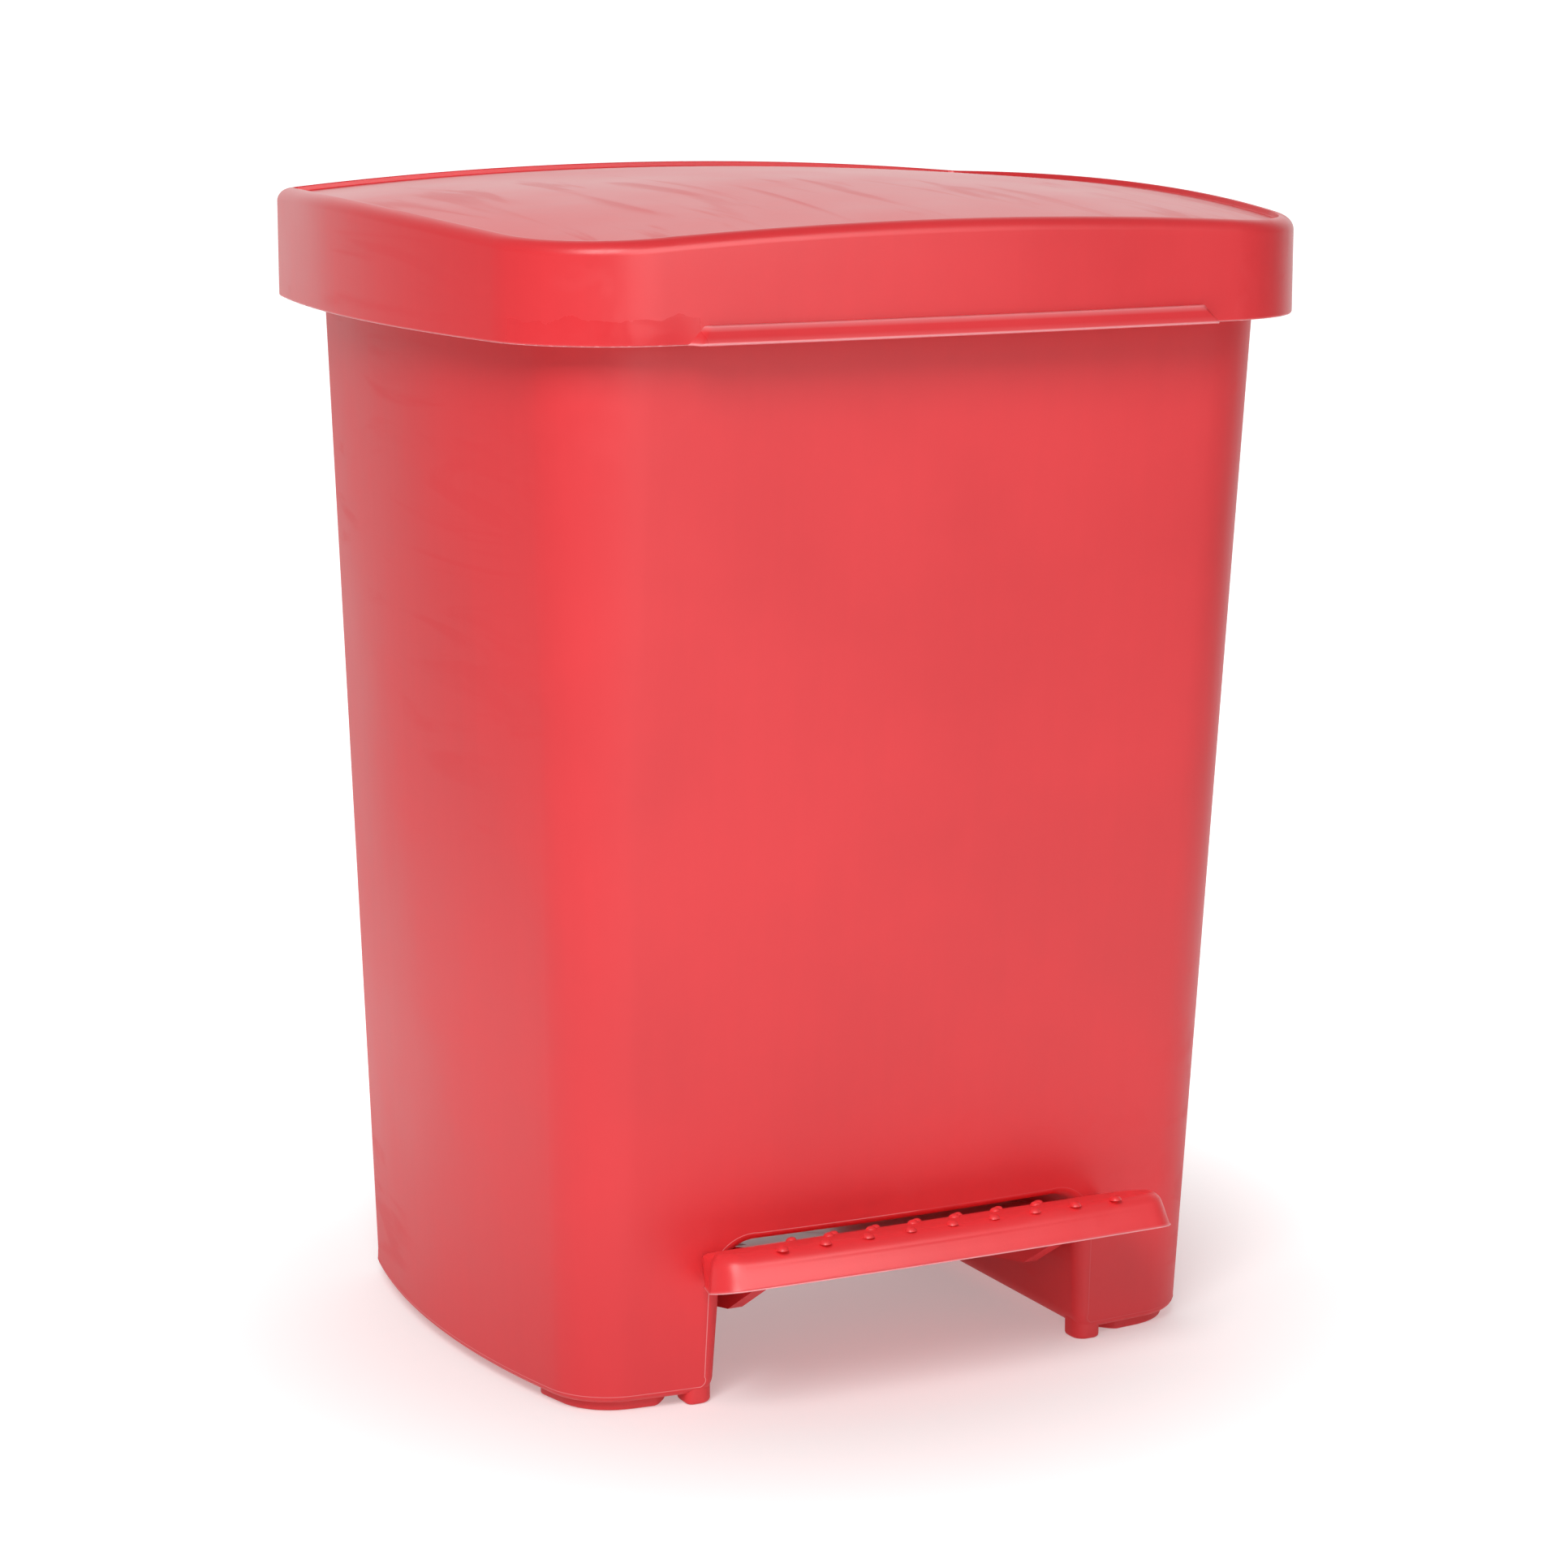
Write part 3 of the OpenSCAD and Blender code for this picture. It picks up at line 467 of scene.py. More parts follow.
def inner_shell(piece, wall):
    """The container's inside with the tunnel's and the duct's humps and the floor; returns its rim line."""
    half, floor_z, gap = DUCT_HALF + WALL, BASE_Z + WALL, 1
    hump, out, _ = arch_contour(TUNNEL_HALF + WALL, TUNNEL_TOP + WALL, TUNNEL_RADIUS + WALL,
                                INNER_FOOT_RADIUS, floor_z - INNER_FOOT_RADIUS)
    keep = hump[:, 1] >= floor_z
    keep[-ARCH_FOOT:] = False
    hump, out = hump[keep], out[keep]
    hump = np.concatenate([hump, [[hump[-1, 0], floor_z]]])
    out = np.concatenate([out, [[1.0, 0.0]]])
    last = DUCT_END + ARCH_TOP
    hump[:DUCT_END + 1, 0] = np.linspace(0, half, DUCT_END + 1)
    hump[DUCT_END + 1:last + 1, 0] = np.linspace(half, hump[last, 0], ARCH_TOP + 1)[1:]
    s_front = wall.find(hump[:, 0], hump[:, 1])
    s_back = wall.find(hump[DUCT_END:, 0], hump[DUCT_END:, 1], True)
    s_low = wall.s[(wall.s > s_front[-1] + gap) & (wall.s < s_back[-1] - gap)]
    z_duct = between(hump[0, 1], RIM_Z)[1:]
    s_duct = wall.find(half, z_duct, True)
    s_rim = wall.s[wall.s < s_duct[-1] - gap]
    loop = [beside(s_front, hump[:, 1]), beside(s_low, floor_z), beside(s_back, hump[DUCT_END:, 1])[::-1],
            beside(s_duct, z_duct), beside(s_rim[::-1], RIM_Z), beside(0, between(RIM_Z, hump[0, 1])[1:-1])]
    fill_sheet(piece, wall, np.concatenate(loop), INNER_CELL, flip=True)
    tunnel_walls(piece, hump, upright(out), wall.at(s_front, hump[:, 1])[0],
                 wall.at(s_back, hump[DUCT_END:, 1])[0], DUCT_FRONT - WALL, flip=True)
    z_side = np.append(hump[0, 1], z_duct)
    back_y = wall.at(wall.find(half, z_side, True), z_side)[0][:, 1]
    duct_walls(piece, hump[:DUCT_END + 1, 0], DUCT_FRONT - WALL, z_side, back_y, -1.0)
    s_floor = np.concatenate([[s_front[-1]], s_low, [s_back[-1]]])
    level_strip(piece, wall.at(s_floor, floor_z)[0], hump[-1, 0], 1.0)
    return wall.at(np.append(s_rim, s_duct[-1]), RIM_Z)[0]


def container():
    piece = Piece()
    wall = Wall(0)
    rim_out, rim_in = outer_shell(piece, wall), inner_shell(piece, Wall(WALL))
    corners = [[DUCT_HALF, DUCT_FRONT], [0, DUCT_FRONT], [0, DUCT_FRONT - WALL],
               [DUCT_HALF + WALL, DUCT_FRONT - WALL]]
    piece.flat(np.concatenate([rim_out[:, :2], corners, rim_in[::-1, :2]]), 2, RIM_Z, 1.0, True)
    rim_bead(piece, wall)
    legs(piece, wall)
    hinge_ears(piece)
    bearing_ribs(piece)
    return piece


def corner_loop(x0, x1, y0, y1, radii, steps=6):
    """A rectangle with its own radius at each corner: front right, back right, back left, front left."""
    spots = ((x1, y0, -1, 1, -90), (x1, y1, -1, -1, 0), (x0, y1, 1, -1, 90), (x0, y0, 1, 1, 180))
    return np.concatenate([arc((x + sx * r, y + sy * r), r, math.radians(a), math.radians(a + 90), steps)[0]
                           for (x, y, sx, sy, a), r in zip(spots, radii)])


def rim_bead(piece, wall):
    """The bead outside the rim, from the front's middle to its closed end at the back."""
    keep = wall.high[:, 1] < RIM_BEAD_BACK
    line, out = wall.high[keep][::2], wall.high_out[keep][::2]
    profile = corner_loop(RIM_BEAD_ROOT, RIM_BEAD, RIM_Z - RIM_BEAD_HEIGHT, RIM_Z, (RIM_BEAD_ROUND,) * 4, 3)
    rows = np.array([level(line + out * d, z) for d, z in np.concatenate([profile, profile[:1]])])
    piece.grid(rows, mirrored=True)
    end = rows[:-1, -1]
    piece.cap(end, end.mean(0), unit(np.cross([0, 0, 1.0], np.append(out[-1], 0))), True)


def pad(piece, loop, z0, z1, round_low, mirrored=False):
    """A closed upright block over a loop, rounded at its foot."""
    e0, e1 = unit(loop - np.roll(loop, 1, 0)), unit(np.roll(loop, -1, 0) - loop)
    n0, n1 = beside(e0[:, 1], -e0[:, 0]), beside(e1[:, 1], -e1[:, 0])
    mid = unit(n0 + n1)
    mid = mid / np.maximum((mid * n0).sum(1, keepdims=True), 0.5)
    rows, normals = [], []
    for phi in np.radians([90, 70, 50, 30, 15, 0]):
        p = loop - mid * round_low * (1 - math.cos(phi))
        rows.append(level(p, z0 + round_low * (1 - math.sin(phi))))
        normals.append(unit(level(unit(mid) * math.cos(phi), -math.sin(phi))))
    rows.append(level(loop, z1))
    normals.append(normals[-1])
    piece.grid(rows, closed=True, normals=normals, mirrored=mirrored)
    piece.ends(rows, 2, mirrored)


def legs(piece, wall):
    """Stub legs beside the tunnel at its mouths, rounded like the mouth's edge."""
    x0, x1 = TUNNEL_HALF + LEG_INSET, TUNNEL_HALF + LEG_WIDTH
    front, back = (wall.at(wall.find(TUNNEL_HALF + LEG_MIDDLE, BASE_Z, behind), BASE_Z)[0][1]
                   for behind in (False, True))
    front, back = front + LEG_INSET, back - LEG_INSET
    for y0, y1, radii in ((front, front + LEG_DEPTH, (3, 3, 3, MOUTH_LOW_ROUND)),
                          (back - LEG_DEPTH, back, (3, 3, MOUTH_LOW_ROUND, 3))):
        pad(piece, corner_loop(x0, x1, y0, y1, radii), 0, LEG_TOP, LEG_ROUND, True)


def hinge_ears(piece):
    r, root = KNUCKLE_RADIUS, HINGE_Y - EAR_ROOT
    ear = np.concatenate([arc((HINGE_Y, HINGE_Z), r, -math.pi / 2, math.pi / 2, 14)[0],
                          [[root, HINGE_Z + r], [root, HINGE_Z - r]]])
    for x in EAR_PLACES:
        slab_x(piece, ear, x, x + EAR_WIDTH, 0.5, True)


def bearing_ribs(piece):
    for y in (PIVOT_Y - BEARING_HALF - RIB - RIB_GAP, PIVOT_Y + BEARING_HALF + RIB_GAP):
        loop = corner_loop(RIB_FROM, TUNNEL_HALF + 1, y, y + RIB, (0.5,) * 4, 3)
        pad(piece, loop, RIB_LOW, RIB_TOP, 0.4, True)


def slab_x(piece, loop, x0, x1, bevel, mirrored=False):
    """A closed plate across X from a loop of (y, z) points, with its edges eased."""
    inward = unit(loop.mean(0) - loop)
    rows = []
    for x, ease in ((x0, bevel), (x0 + bevel, 0), (x1 - bevel, 0), (x1, bevel)):
        rows.append(beside(x, *(loop + inward * ease).T))
    for a, b in zip(rows[:-1], rows[1:]):
        piece.grid(np.array([a, b]), closed=True, mirrored=mirrored)
    piece.ends(rows, 0, mirrored)


# ---------- materials ----------

def new_material(name):
    material = bpy.data.materials.new(name)
    material.use_nodes = True
    tree = material.node_tree
    return material, tree, tree.nodes["Principled BSDF"]


def given(node, values):
    for name, value in values.items():
        node.inputs[name].default_value = value


def ramp(tree, source, low, high, to_low=0.0, to_high=1.0, kind="SMOOTHSTEP"):
    """Takes a value from one range to another, smoothly or in a straight line."""
    step = tree.nodes.new("ShaderNodeMapRange")
    step.interpolation_type = kind
    given(step, {"From Min": low, "From Max": high, "To Min": to_low, "To Max": to_high})
    tree.links.new(source, step.inputs["Value"])
    return step.outputs["Result"]


def combine(tree, operation, a, b):
    node = tree.nodes.new("ShaderNodeMath")
    node.operation = operation
    tree.links.new(a, node.inputs[0])
    tree.links.new(b, node.inputs[1])
    return node.outputs["Value"]


def noise_at(tree, scale, detail, stretch=(1, 1, 1), distortion=0.0):
    """Noise over the object's own coordinates, drawn out along an axis where stretch is small."""
    coords = tree.nodes.new("ShaderNodeTexCoord")
    mapping = tree.nodes.new("ShaderNodeMapping")
    mapping.inputs["Scale"].default_value = stretch
    noise = tree.nodes.new("ShaderNodeTexNoise")
    given(noise, {"Scale": scale, "Detail": detail, "Distortion": distortion})
    tree.links.new(coords.outputs["Object"], mapping.inputs["Vector"])
    tree.links.new(mapping.outputs["Vector"], noise.inputs["Vector"])
    return noise.outputs["Fac"]


def tones(tree, source, dark, light):
    """A colour between two, chosen by a value."""
    node = tree.nodes.new("ShaderNodeValToRGB")
    for stop, colour in zip(node.color_ramp.elements, (dark, light)):
        stop.color = (*colour, 1)
    tree.links.new(source, node.inputs["Fac"])
    return node.outputs["Color"]


def skirt_smudge(tree):
    """The rubbed, glossier patches low on the front left of the lid's skirt."""
    coords = tree.nodes.new("ShaderNodeTexCoord")
    axes = tree.nodes.new("ShaderNodeSeparateXYZ")
    tree.links.new(coords.outputs["Object"], axes.inputs["Vector"])
    low = ramp(tree, axes.outputs["Z"], 0.403, 0.416, 0.34, -0.2)
    blotch = combine(tree, "ADD", noise_at(tree, 38, 5, distortion=0.5), low)
    left = ramp(tree, axes.outputs["X"], -0.115, -0.095, 1.0, 0.0)
    front = ramp(tree, axes.outputs["Y"], -0.115, -0.085, 1.0, 0.0)
    place = combine(tree, "MULTIPLY", left, front)
    return combine(tree, "MULTIPLY", ramp(tree, blotch, 0.62, 0.70), place)


# Pale tint for the marked places: moulding flash, and painted highlights along edges
FLASH_AND_HIGHLIGHT_TINT = (0.95, 0.40, 0.42, 1)


def moulded(name, colour, roughness=0.48, gloss=0.34, grain=0.16, smudged=False):
    """Moulded polypropylene: fine grain, flow marks, scuffs, and a pale tint where the mesh is marked, for
    moulding flash and for painted highlights along edges.
    """
    material, tree, shader = new_material(name)
    nodes, links = tree.nodes, tree.links
    given(shader, {"Specular IOR Level": gloss})
    flow = noise_at(tree, 9, 4)
    streaks = noise_at(tree, 160, 3, (1, 1, 0.02))
    blend = combine(tree, "ADD", ramp(tree, flow, 0.3, 0.7, 0, 0.88), ramp(tree, streaks, 0.35, 0.7, 0, 0.12))
    tone = tones(tree, blend, [c * 0.94 for c in colour], [min(c * 1.04, 1) for c in colour])
    # Pale tint where marked: moulding flash and painted edge highlights
    flash_and_highlight = nodes.new("ShaderNodeAttribute")
    flash_and_highlight.attribute_name = "flash_and_highlight"
    pale = nodes.new("ShaderNodeMix")
    pale.data_type = "RGBA"
    pale.inputs[7].default_value = FLASH_AND_HIGHLIGHT_TINT
    links.new(flash_and_highlight.outputs["Fac"], pale.inputs[0])
    links.new(tone, pale.inputs[6])
    links.new(pale.outputs[2], shader.inputs["Base Color"])
    scuffs = combine(tree, "MULTIPLY", noise_at(tree, 60, 6, (1, 0.12, 1), 1.2), noise_at(tree, 5, 2))
    rough = combine(tree, "ADD", ramp(tree, flow, 0.2, 0.8, roughness - 0.05, roughness + 0.05),
                    ramp(tree, scuffs, 0.30, 0.40, 0, 0.07))
    if smudged:
        rough = combine(tree, "SUBTRACT", rough, ramp(tree, skirt_smudge(tree), 0, 1, 0, 0.16))
    links.new(rough, shader.inputs["Roughness"])
    bump = nodes.new("ShaderNodeBump")
    given(bump, {"Strength": grain, "Distance": 0.0001})
    links.new(noise_at(tree, 1400, 2), bump.inputs["Height"])
    links.new(bump.outputs["Normal"], shader.inputs["Normal"])
    return material


def steel(name):
    """Drawn steel with fine lines along Z."""
    material, tree, shader = new_material(name)
    given(shader, {"Metallic": 1})
    lines = noise_at(tree, 900, 2, (1, 1, 0.05))
    tree.links.new(tones(tree, lines, (0.5, 0.51, 0.53), (0.72, 0.73, 0.75)), shader.inputs["Base Color"])
    tree.links.new(ramp(tree, lines, 0, 1, 0.22, 0.4, "LINEAR"), shader.inputs["Roughness"])
    return material


RED = (0.80, 0.036, 0.044)
MATERIALS = {
    "container_red": moulded("container_plastic", RED, 0.46, 0.5),
    "lid_red": moulded("lid_plastic", RED, 0.33, 0.5, smudged=True),
    # The pedal is the body's red made about a tenth brighter: painted light on the tread
    "pedal_red": moulded("pedal_plastic_painted_brighter", (0.88, 0.042, 0.05), 0.34, 0.5),
    "inner_red": moulded("inner_plastic", (0.72, 0.03, 0.038)),
    "ring_red": moulded("ring_plastic", (0.74, 0.032, 0.04)),
    "steel_rod": steel("rod_steel"),
    "steel_fasteners": steel("screw_steel"),
}
SLOTS = {row["node"]: row["material_slot"] for row in frame["record"]["subparts"]}


# ---------- lid ----------

def dome_z(p, drop=0.0):
    r = DOME_RADIUS
    return DOME_TOP - drop - r + np.sqrt(r * r - p[..., 0] ** 2 - (p[..., 1] - DOME_Y) ** 2)


def dome_normals(p):
    return unit(np.stack([p[..., 0], p[..., 1] - DOME_Y, p[..., 2] - (DOME_TOP - DOME_RADIUS)], -1))


def lid_ring(inset, z=None, drop=0.0):
    """The lid's outline, brought in by inset, at a height or under the dome by drop."""
    p = full_outline(LID, inset, LID_STEPS)[0]
    return level(p, dome_z(p, drop) if z is None else z)


def panel(piece, edge, drop, way):
    """Fills the dome inside an edge line; way is 1 for the panel's top and -1 for its underside."""
    centre = np.array([0.0, 5.0])
    rows = []
    for k in np.concatenate([np.linspace(1, 0.1, 16), [0.04]]):
        p = centre + (edge[:, :2] - centre) * k
        rows.append(level(p, dome_z(p, drop)))
    rows[0] = edge
    rows = np.array(rows)
    piece.grid(rows, closed=True, flip=way < 0, normals=way * dome_normals(rows))
    hub = np.append(centre, dome_z(centre[None], drop))
    piece.cap(rows[-1], hub, way * dome_normals(np.concatenate([rows[-1], [hub]])))


def lid_shell():
    piece = Piece()

    def skirt_round(inset, r, way, angles):
        return [lid_ring(inset + way * r * (1 - math.cos(phi)), SKIRT_Z + r * (1 - math.sin(phi)))
                for phi in np.radians(angles)]

    def dome_round(inset, drop, r, angles):
        return [lid_ring(inset + r * (1 - math.cos(phi)), drop=drop + r * (1 - math.sin(phi)))
                for phi in np.radians(angles)]

    rows = skirt_round(0, LID_LOW_ROUND, 1, (90, 60, 30, 0)) + [lid_ring(0, SKIRT_Z + z) for z in (6, 14, 22)]
    rows += dome_round(0, 0, LID_EDGE_ROUND, (0, 12, 24, 36, 48, 60, 72, 84, 90))
    crest, fall = LID_EDGE_ROUND + PANEL_CREST, PANEL_FALL
    for phi in np.radians([30, 60, 90]):
        rows.append(lid_ring(crest + fall * math.sin(phi), drop=fall * (1 - math.cos(phi))))
    for phi in np.radians([90, 60, 30, 0]):
        rows.append(lid_ring(crest + 2 * fall + PANEL_STEP - fall * math.sin(phi),
                             drop=PANEL_DROP - fall * (1 - math.cos(phi))))
    piece.grid(rows, closed=True)
    panel(piece, rows[-1], PANEL_DROP, 1)

    # Inside
    under = PANEL_DROP + LID_WALL
    rows = skirt_round(LID_WALL, INNER_LOW_ROUND, -1, (90, 45, 0))
    rows += [lid_ring(LID_WALL, SKIRT_Z + z) for z in (12, 24)]
    rows += dome_round(LID_WALL, under, INNER_TOP_ROUND, (0, 30, 60, 90))
    piece.grid(rows, closed=True, flip=True)
    panel(piece, rows[-1], under, -1)
    bottom = np.array([lid_ring(inset, SKIRT_Z) for inset in (LID_WALL - INNER_LOW_ROUND, LID_LOW_ROUND)])
    piece.grid(bottom, closed=True, normals=(0, 0, -1.0))
    lid_flash(piece)
    grip_lip(piece)
    under_lid(piece)
    return piece


def tube_z(piece, x, y, z0, z1, outer, inner, steps=24):
    """A short upright tube, open at its lower end and closed by the lid at its top."""
    turn = np.linspace(0, 2 * math.pi, steps, endpoint=False)
    circle = beside(np.cos(turn), np.sin(turn))
    ease = 0.4
    profile = [(inner, z1 - 3), (inner, z0 + ease), (inner + ease, z0),
               (outer - ease, z0), (outer, z0 + ease), (outer, z1)]
    rows = np.array([level(circle * r + [x, y], z) for r, z in profile])
    piece.grid(rows, closed=True, flip=True)
    piece.ends(rows, 2)


def under_lid(piece):
    """Hinge knuckles, screw bosses and the ribs that rest on the container's rim."""
    back, top = LID["depth"] / 2 - LID_WALL + SUNK, HINGE_Z + 6
    knuckle = np.concatenate([arc((HINGE_Y, HINGE_Z), KNUCKLE_RADIUS, math.pi * 0.62, math.pi * 2, 26)[0],
                              [[back, HINGE_Z], [back, top], [HINGE_Y + 1, top]]])
    slab_x(piece, knuckle, EAR_PLACES[0] + EAR_WIDTH + EAR_GAP, EAR_PLACES[1] - EAR_GAP, 0.4, True)
    into = PANEL_DROP + LID_WALL - SUNK
    for x in (-BOSS_X, BOSS_X):
        tube_z(piece, x, ROD_Y, BOSS_LOW, dome_z(np.array([x, ROD_Y, 0.0]), into), BOSS_OUTER, BOSS_INNER)
    for x0, x1, y0, y1 in REST_RIBS:
        high = [dome_z(np.array([x, y, 0.0]), into) for x, y in ((x0, y0), (x1, y1))]
        pad(piece, corner_loop(x0, x1, y0, y1, (0.6,) * 4, 3), RIM_Z + REST_GAP, min(high), 0.4, True)


def burrs(t, seed):
    """A ragged edge's height from 0 to 1, from a few waves of unrelated lengths."""
    value = (np.sin(t * 0.31 + seed) * np.sin(t * 0.83 + 2 * seed) + 0.6 * np.sin(t * 2.3 + 3 * seed)
             + 0.5 * np.sin(t * 4.9 + seed) * np.sin(t * 0.17))
    return np.clip(0.45 + 0.35 * value, 0.1, 1.0)


def lid_flash(piece):
    """Thin moulding flash that stands out under the skirt's lower edge."""
    line, out = full_outline(LID, 0.8, (90, 70, 110, 30, 90))
    t = np.concatenate([[0], np.cumsum(np.linalg.norm(np.diff(line, axis=0), axis=1))])
    reach = 0.3 + 0.42 * burrs(t, 1.7)
    drop = 0.3 + 0.6 * burrs(t, 4.1)
    rows = []
    for d, z in ((-0.4, 0.7), (0.6, 0.5), (1.0, 0.0), (0.55, -0.25), (-0.4, 0.1), (-0.4, 0.7)):
        p = line + out * (np.where(d > 0, reach, 1) * d)[:, None]
        rows.append(level(p, SKIRT_Z + z * (drop if z > 0 else 0.6)))
    piece.grid(rows, closed=True, flip=True, mark=1.0)


def grip_lip(piece):
    """The flared lip along the front of the skirt, with rounded ends that sink into it, and pale marks on its
    edges for moulding flash and a painted highlight.
    """
    face, low, top = LIP_REACH - 0.15, 0.9, LIP_HEIGHT - 0.5
    profile = [(-1.0, -0.25, 0.0), (LIP_REACH - 0.6, -0.25, 0.2), (LIP_REACH, 0.25, 1.0), (face, low, 0.1)]
    profile += [(face + (LIP_TOP_REACH - LIP_REACH) * k, low + (top - low) * k, 0.0) for k in (0.35, 0.7)]
    profile += [(LIP_TOP_REACH, top, 0.35), (LIP_TOP_REACH - 0.5, LIP_HEIGHT, 0.8),
                (-1.0, LIP_HEIGHT + 0.5, 0.0)]
    profile = np.array(profile + profile[:1])         # outward, up, and the pale mark: moulding flash and a painted highlight on the lip's edges
    line, out = (v[:420] for v in half_outline(LID, 0, (400, 40, 4, 4, 4)))
    ease = np.linspace(0, 1, 9)[1:]
    share = np.concatenate([np.linspace(0, 1, 40), np.ones(8)])
    sink = np.concatenate([np.zeros(40), smooth(ease)])
    grow = np.concatenate([np.zeros(40), LIP_END * ease])
    rows = []
    for d, z, _ in profile:
        x = share * (LIP_HALF - LIP_END - LIP_SLOPE * max(z, 0) / LIP_HEIGHT) + grow
        spot, n = (beside(*(np.interp(x, line[:, 0], v[:, i]) for i in (0, 1))) for v in (line, out))
        spot[:, 0] = x
        reach = d * (1 - sink) + np.minimum(d, -SUNK) * sink
        rows.append(level(spot + unit(n) * reach[:, None], SKIRT_Z + z))
    # Both halves of the lip carry the full pale mark, painted highlight included
    piece.right_flash_and_highlight = 1.0
    piece.grid(rows, mark=profile[:, 2:3], mirrored=True)


def show_cad(node):
    """A CAD node that stays gets its slot's material."""
    mesh = frame["nodes"][node].data
    mesh.materials.clear()
    mesh.materials.append(MATERIALS[SLOTS[node]])


# ---------- pedal ----------

def tip(p, angle):
    """Turns points so that their front rises."""
    c, s = math.cos(angle), math.sin(angle)
    return np.stack([p[:, 0], p[:, 1] * c + p[:, 2] * s, -p[:, 1] * s + p[:, 2] * c], 1)


def pedal_turn(p, direction=False):
    """From the level pedal, with its pivot at the origin, to its place at rest."""
    return tip(p, PEDAL_TILT) + (0 if direction else np.array([0, PIVOT_Y, PIVOT_Z]))


def tread_turn(p, direction=False):
    """The tread rises a little more than its arms, about its rear top edge."""
    if direction:
        return pedal_turn(tip(p, TREAD_RISE), True)
    edge = np.array([0, -TREAD_BACK, TREAD_TOP])
    return pedal_turn(tip(p - edge, TREAD_RISE) + edge)


def tread_top(y):
    """Height of the crowned top face at a distance in front of the pivot."""
    return TREAD_TOP - (y + TREAD_CREST) ** 2 / TREAD_CROWN


def tread_ring(inset):
    """The tread's outline seen from above, brought in by inset."""
    w, r, front = TREAD_HALF - inset, max(TREAD_CORNER - inset, 3.0), TREAD_FRONT - inset
    bow = bow_radius(TREAD_HALF, TREAD_BOW)
    bow_c = np.array([0, bow - front])
    cx = w - r
    cy = -math.sqrt((bow - r) ** 2 - cx * cx) + bow_c[1]
    a0 = heading(bow_c, (cx, cy))
    back = -TREAD_BACK - inset
    corner = arc((cx, cy), r, a0, 0, 14)[0]
    k = np.linspace(0, 1, 16)[1:, None]
    x = TREAD_BACK_HALF - inset
    side = corner[-1] * (1 - k) + np.array([x, back + 1.5]) * k
    tail = np.array([[x - 0.5, back + 0.45], [x - 1.5, back]])
    rear = beside(np.linspace(x - 1.5, 0, 22)[1:], back)
    half = np.concatenate([arc(bow_c, bow, -math.pi / 2, a0, 40)[0], corner[1:], side, tail, rear])
    half[[0, -1], 0] = 0
    return np.concatenate([half, half[-2:0:-1] * [-1, 1]])


def tread():
    piece = Piece()
    outer, inner = tread_ring(0), tread_ring(10)
    ease = 1 - smooth(np.clip((outer[:, 1] + TREAD_BACK + 14) / 12, 0, 1))
    roll = TREAD_BACK_ROLL + (TREAD_ROLL - TREAD_BACK_ROLL) * ease
    rows, marks = [], []

    def ring(inset, z=None, drop=0.0, mark=0.0):
        p = outer + (inner - outer) * (np.broadcast_to(inset, (len(outer),)) / 10)[:, None]
        z = tread_top(p[:, 1]) - drop if z is None else z
        rows.append(level(p, z))
        marks.append([mark])

    def fill(edge, drop, flip, up):
        spine = beside(np.clip(edge[:, 0], -70, 70), edge[:, 1].mean())
        sheet = []
        for k in (1, 0.85, 0.65, 0.45, 0.25, 0.0):
            p = edge[:, :2] * k + spine * (1 - k)
            sheet.append(level(p, tread_top(p[:, 1]) - drop))
        sheet[0] = edge
        sheet = np.array(sheet)
        slope = -2 * (sheet[..., 1] + TREAD_CREST) / TREAD_CROWN
        normals = unit(np.stack([np.zeros_like(slope), -slope, np.ones_like(slope)], -1)) * up
        piece.grid(sheet, closed=True, flip=flip, normals=normals)

    ring(0.9, TREAD_LOW)
    ring(0.05, TREAD_LOW, mark=0.8)
    ring(-0.15, TREAD_LOW + 0.25, mark=1.0)
    ring(0.15, TREAD_LOW + 0.55, mark=0.2)
    for height in (1.2, 4.0, 7.0):
        ring(0.2 + TREAD_DRAFT * ease * height / TREAD_DRAFT_HEIGHT, TREAD_LOW + height)
    for phi in np.radians([8, 16, 26, 36, 46, 56, 66, 78, 90]):
        ring(0.2 + TREAD_DRAFT * ease + roll * (1 - math.cos(phi)), drop=roll * (1 - math.sin(phi)))
    piece.grid(rows, closed=True, mark=marks)
    fill(rows[-1], 0, False, 1)

    # Hollow underside
    rows, marks = [], []
    ring(0.9, TREAD_LOW)
    ring(2.2, TREAD_LOW)
    ring(2.5, TREAD_LOW + 0.4)
    for phi in np.radians([0, 30, 60, 90]):
        ring(TREAD_WALL + TREAD_DRAFT * ease + TREAD_HOLLOW_ROUND * (1 - math.cos(phi)),
             drop=TREAD_WALL + TREAD_HOLLOW_ROUND * (1 - math.sin(phi)))
    piece.grid(rows, closed=True, flip=True)
    fill(rows[-1], TREAD_WALL, True, -1)
    neck(piece)
    for count, back in DOT_ROWS:
        for i in range(count):
            dot(piece, (i - (count - 1) / 2) * DOT_PITCH, -back)
    return piece


def dot(piece, x, y):
    """One raised anti-slip dot with a soft foot."""
    turn = np.linspace(0, 2 * math.pi, DOT_SIDES, endpoint=False)
    rows = []
    for r, z in DOT_SECTION:
        ys = y + r * np.sin(turn)
        rows.append(beside(x + r * np.cos(turn), ys, tread_top(ys) + z))
    piece.grid(rows, closed=True)
    for row, rise, way in ((rows[-1], DOT_CREST, 1.0), (rows[0], DOT_SECTION[0][1], -1.0)):
        piece.cap(row, [x, y, tread_top(y) + rise], (0, 0, way))


def neck(piece):
    """The plate that joins the tread to its arms inside the tunnel."""
    top = tread_top(-TREAD_BACK - 1.5)
    loop = corner_loop(-NECK_HALF, NECK_HALF, -TREAD_BACK - 2, -NECK_BACK, (1, 3, 3, 1))
    pad(piece, loop, top - NECK_WALL, top, 0.5)


# ---------- feet ----------

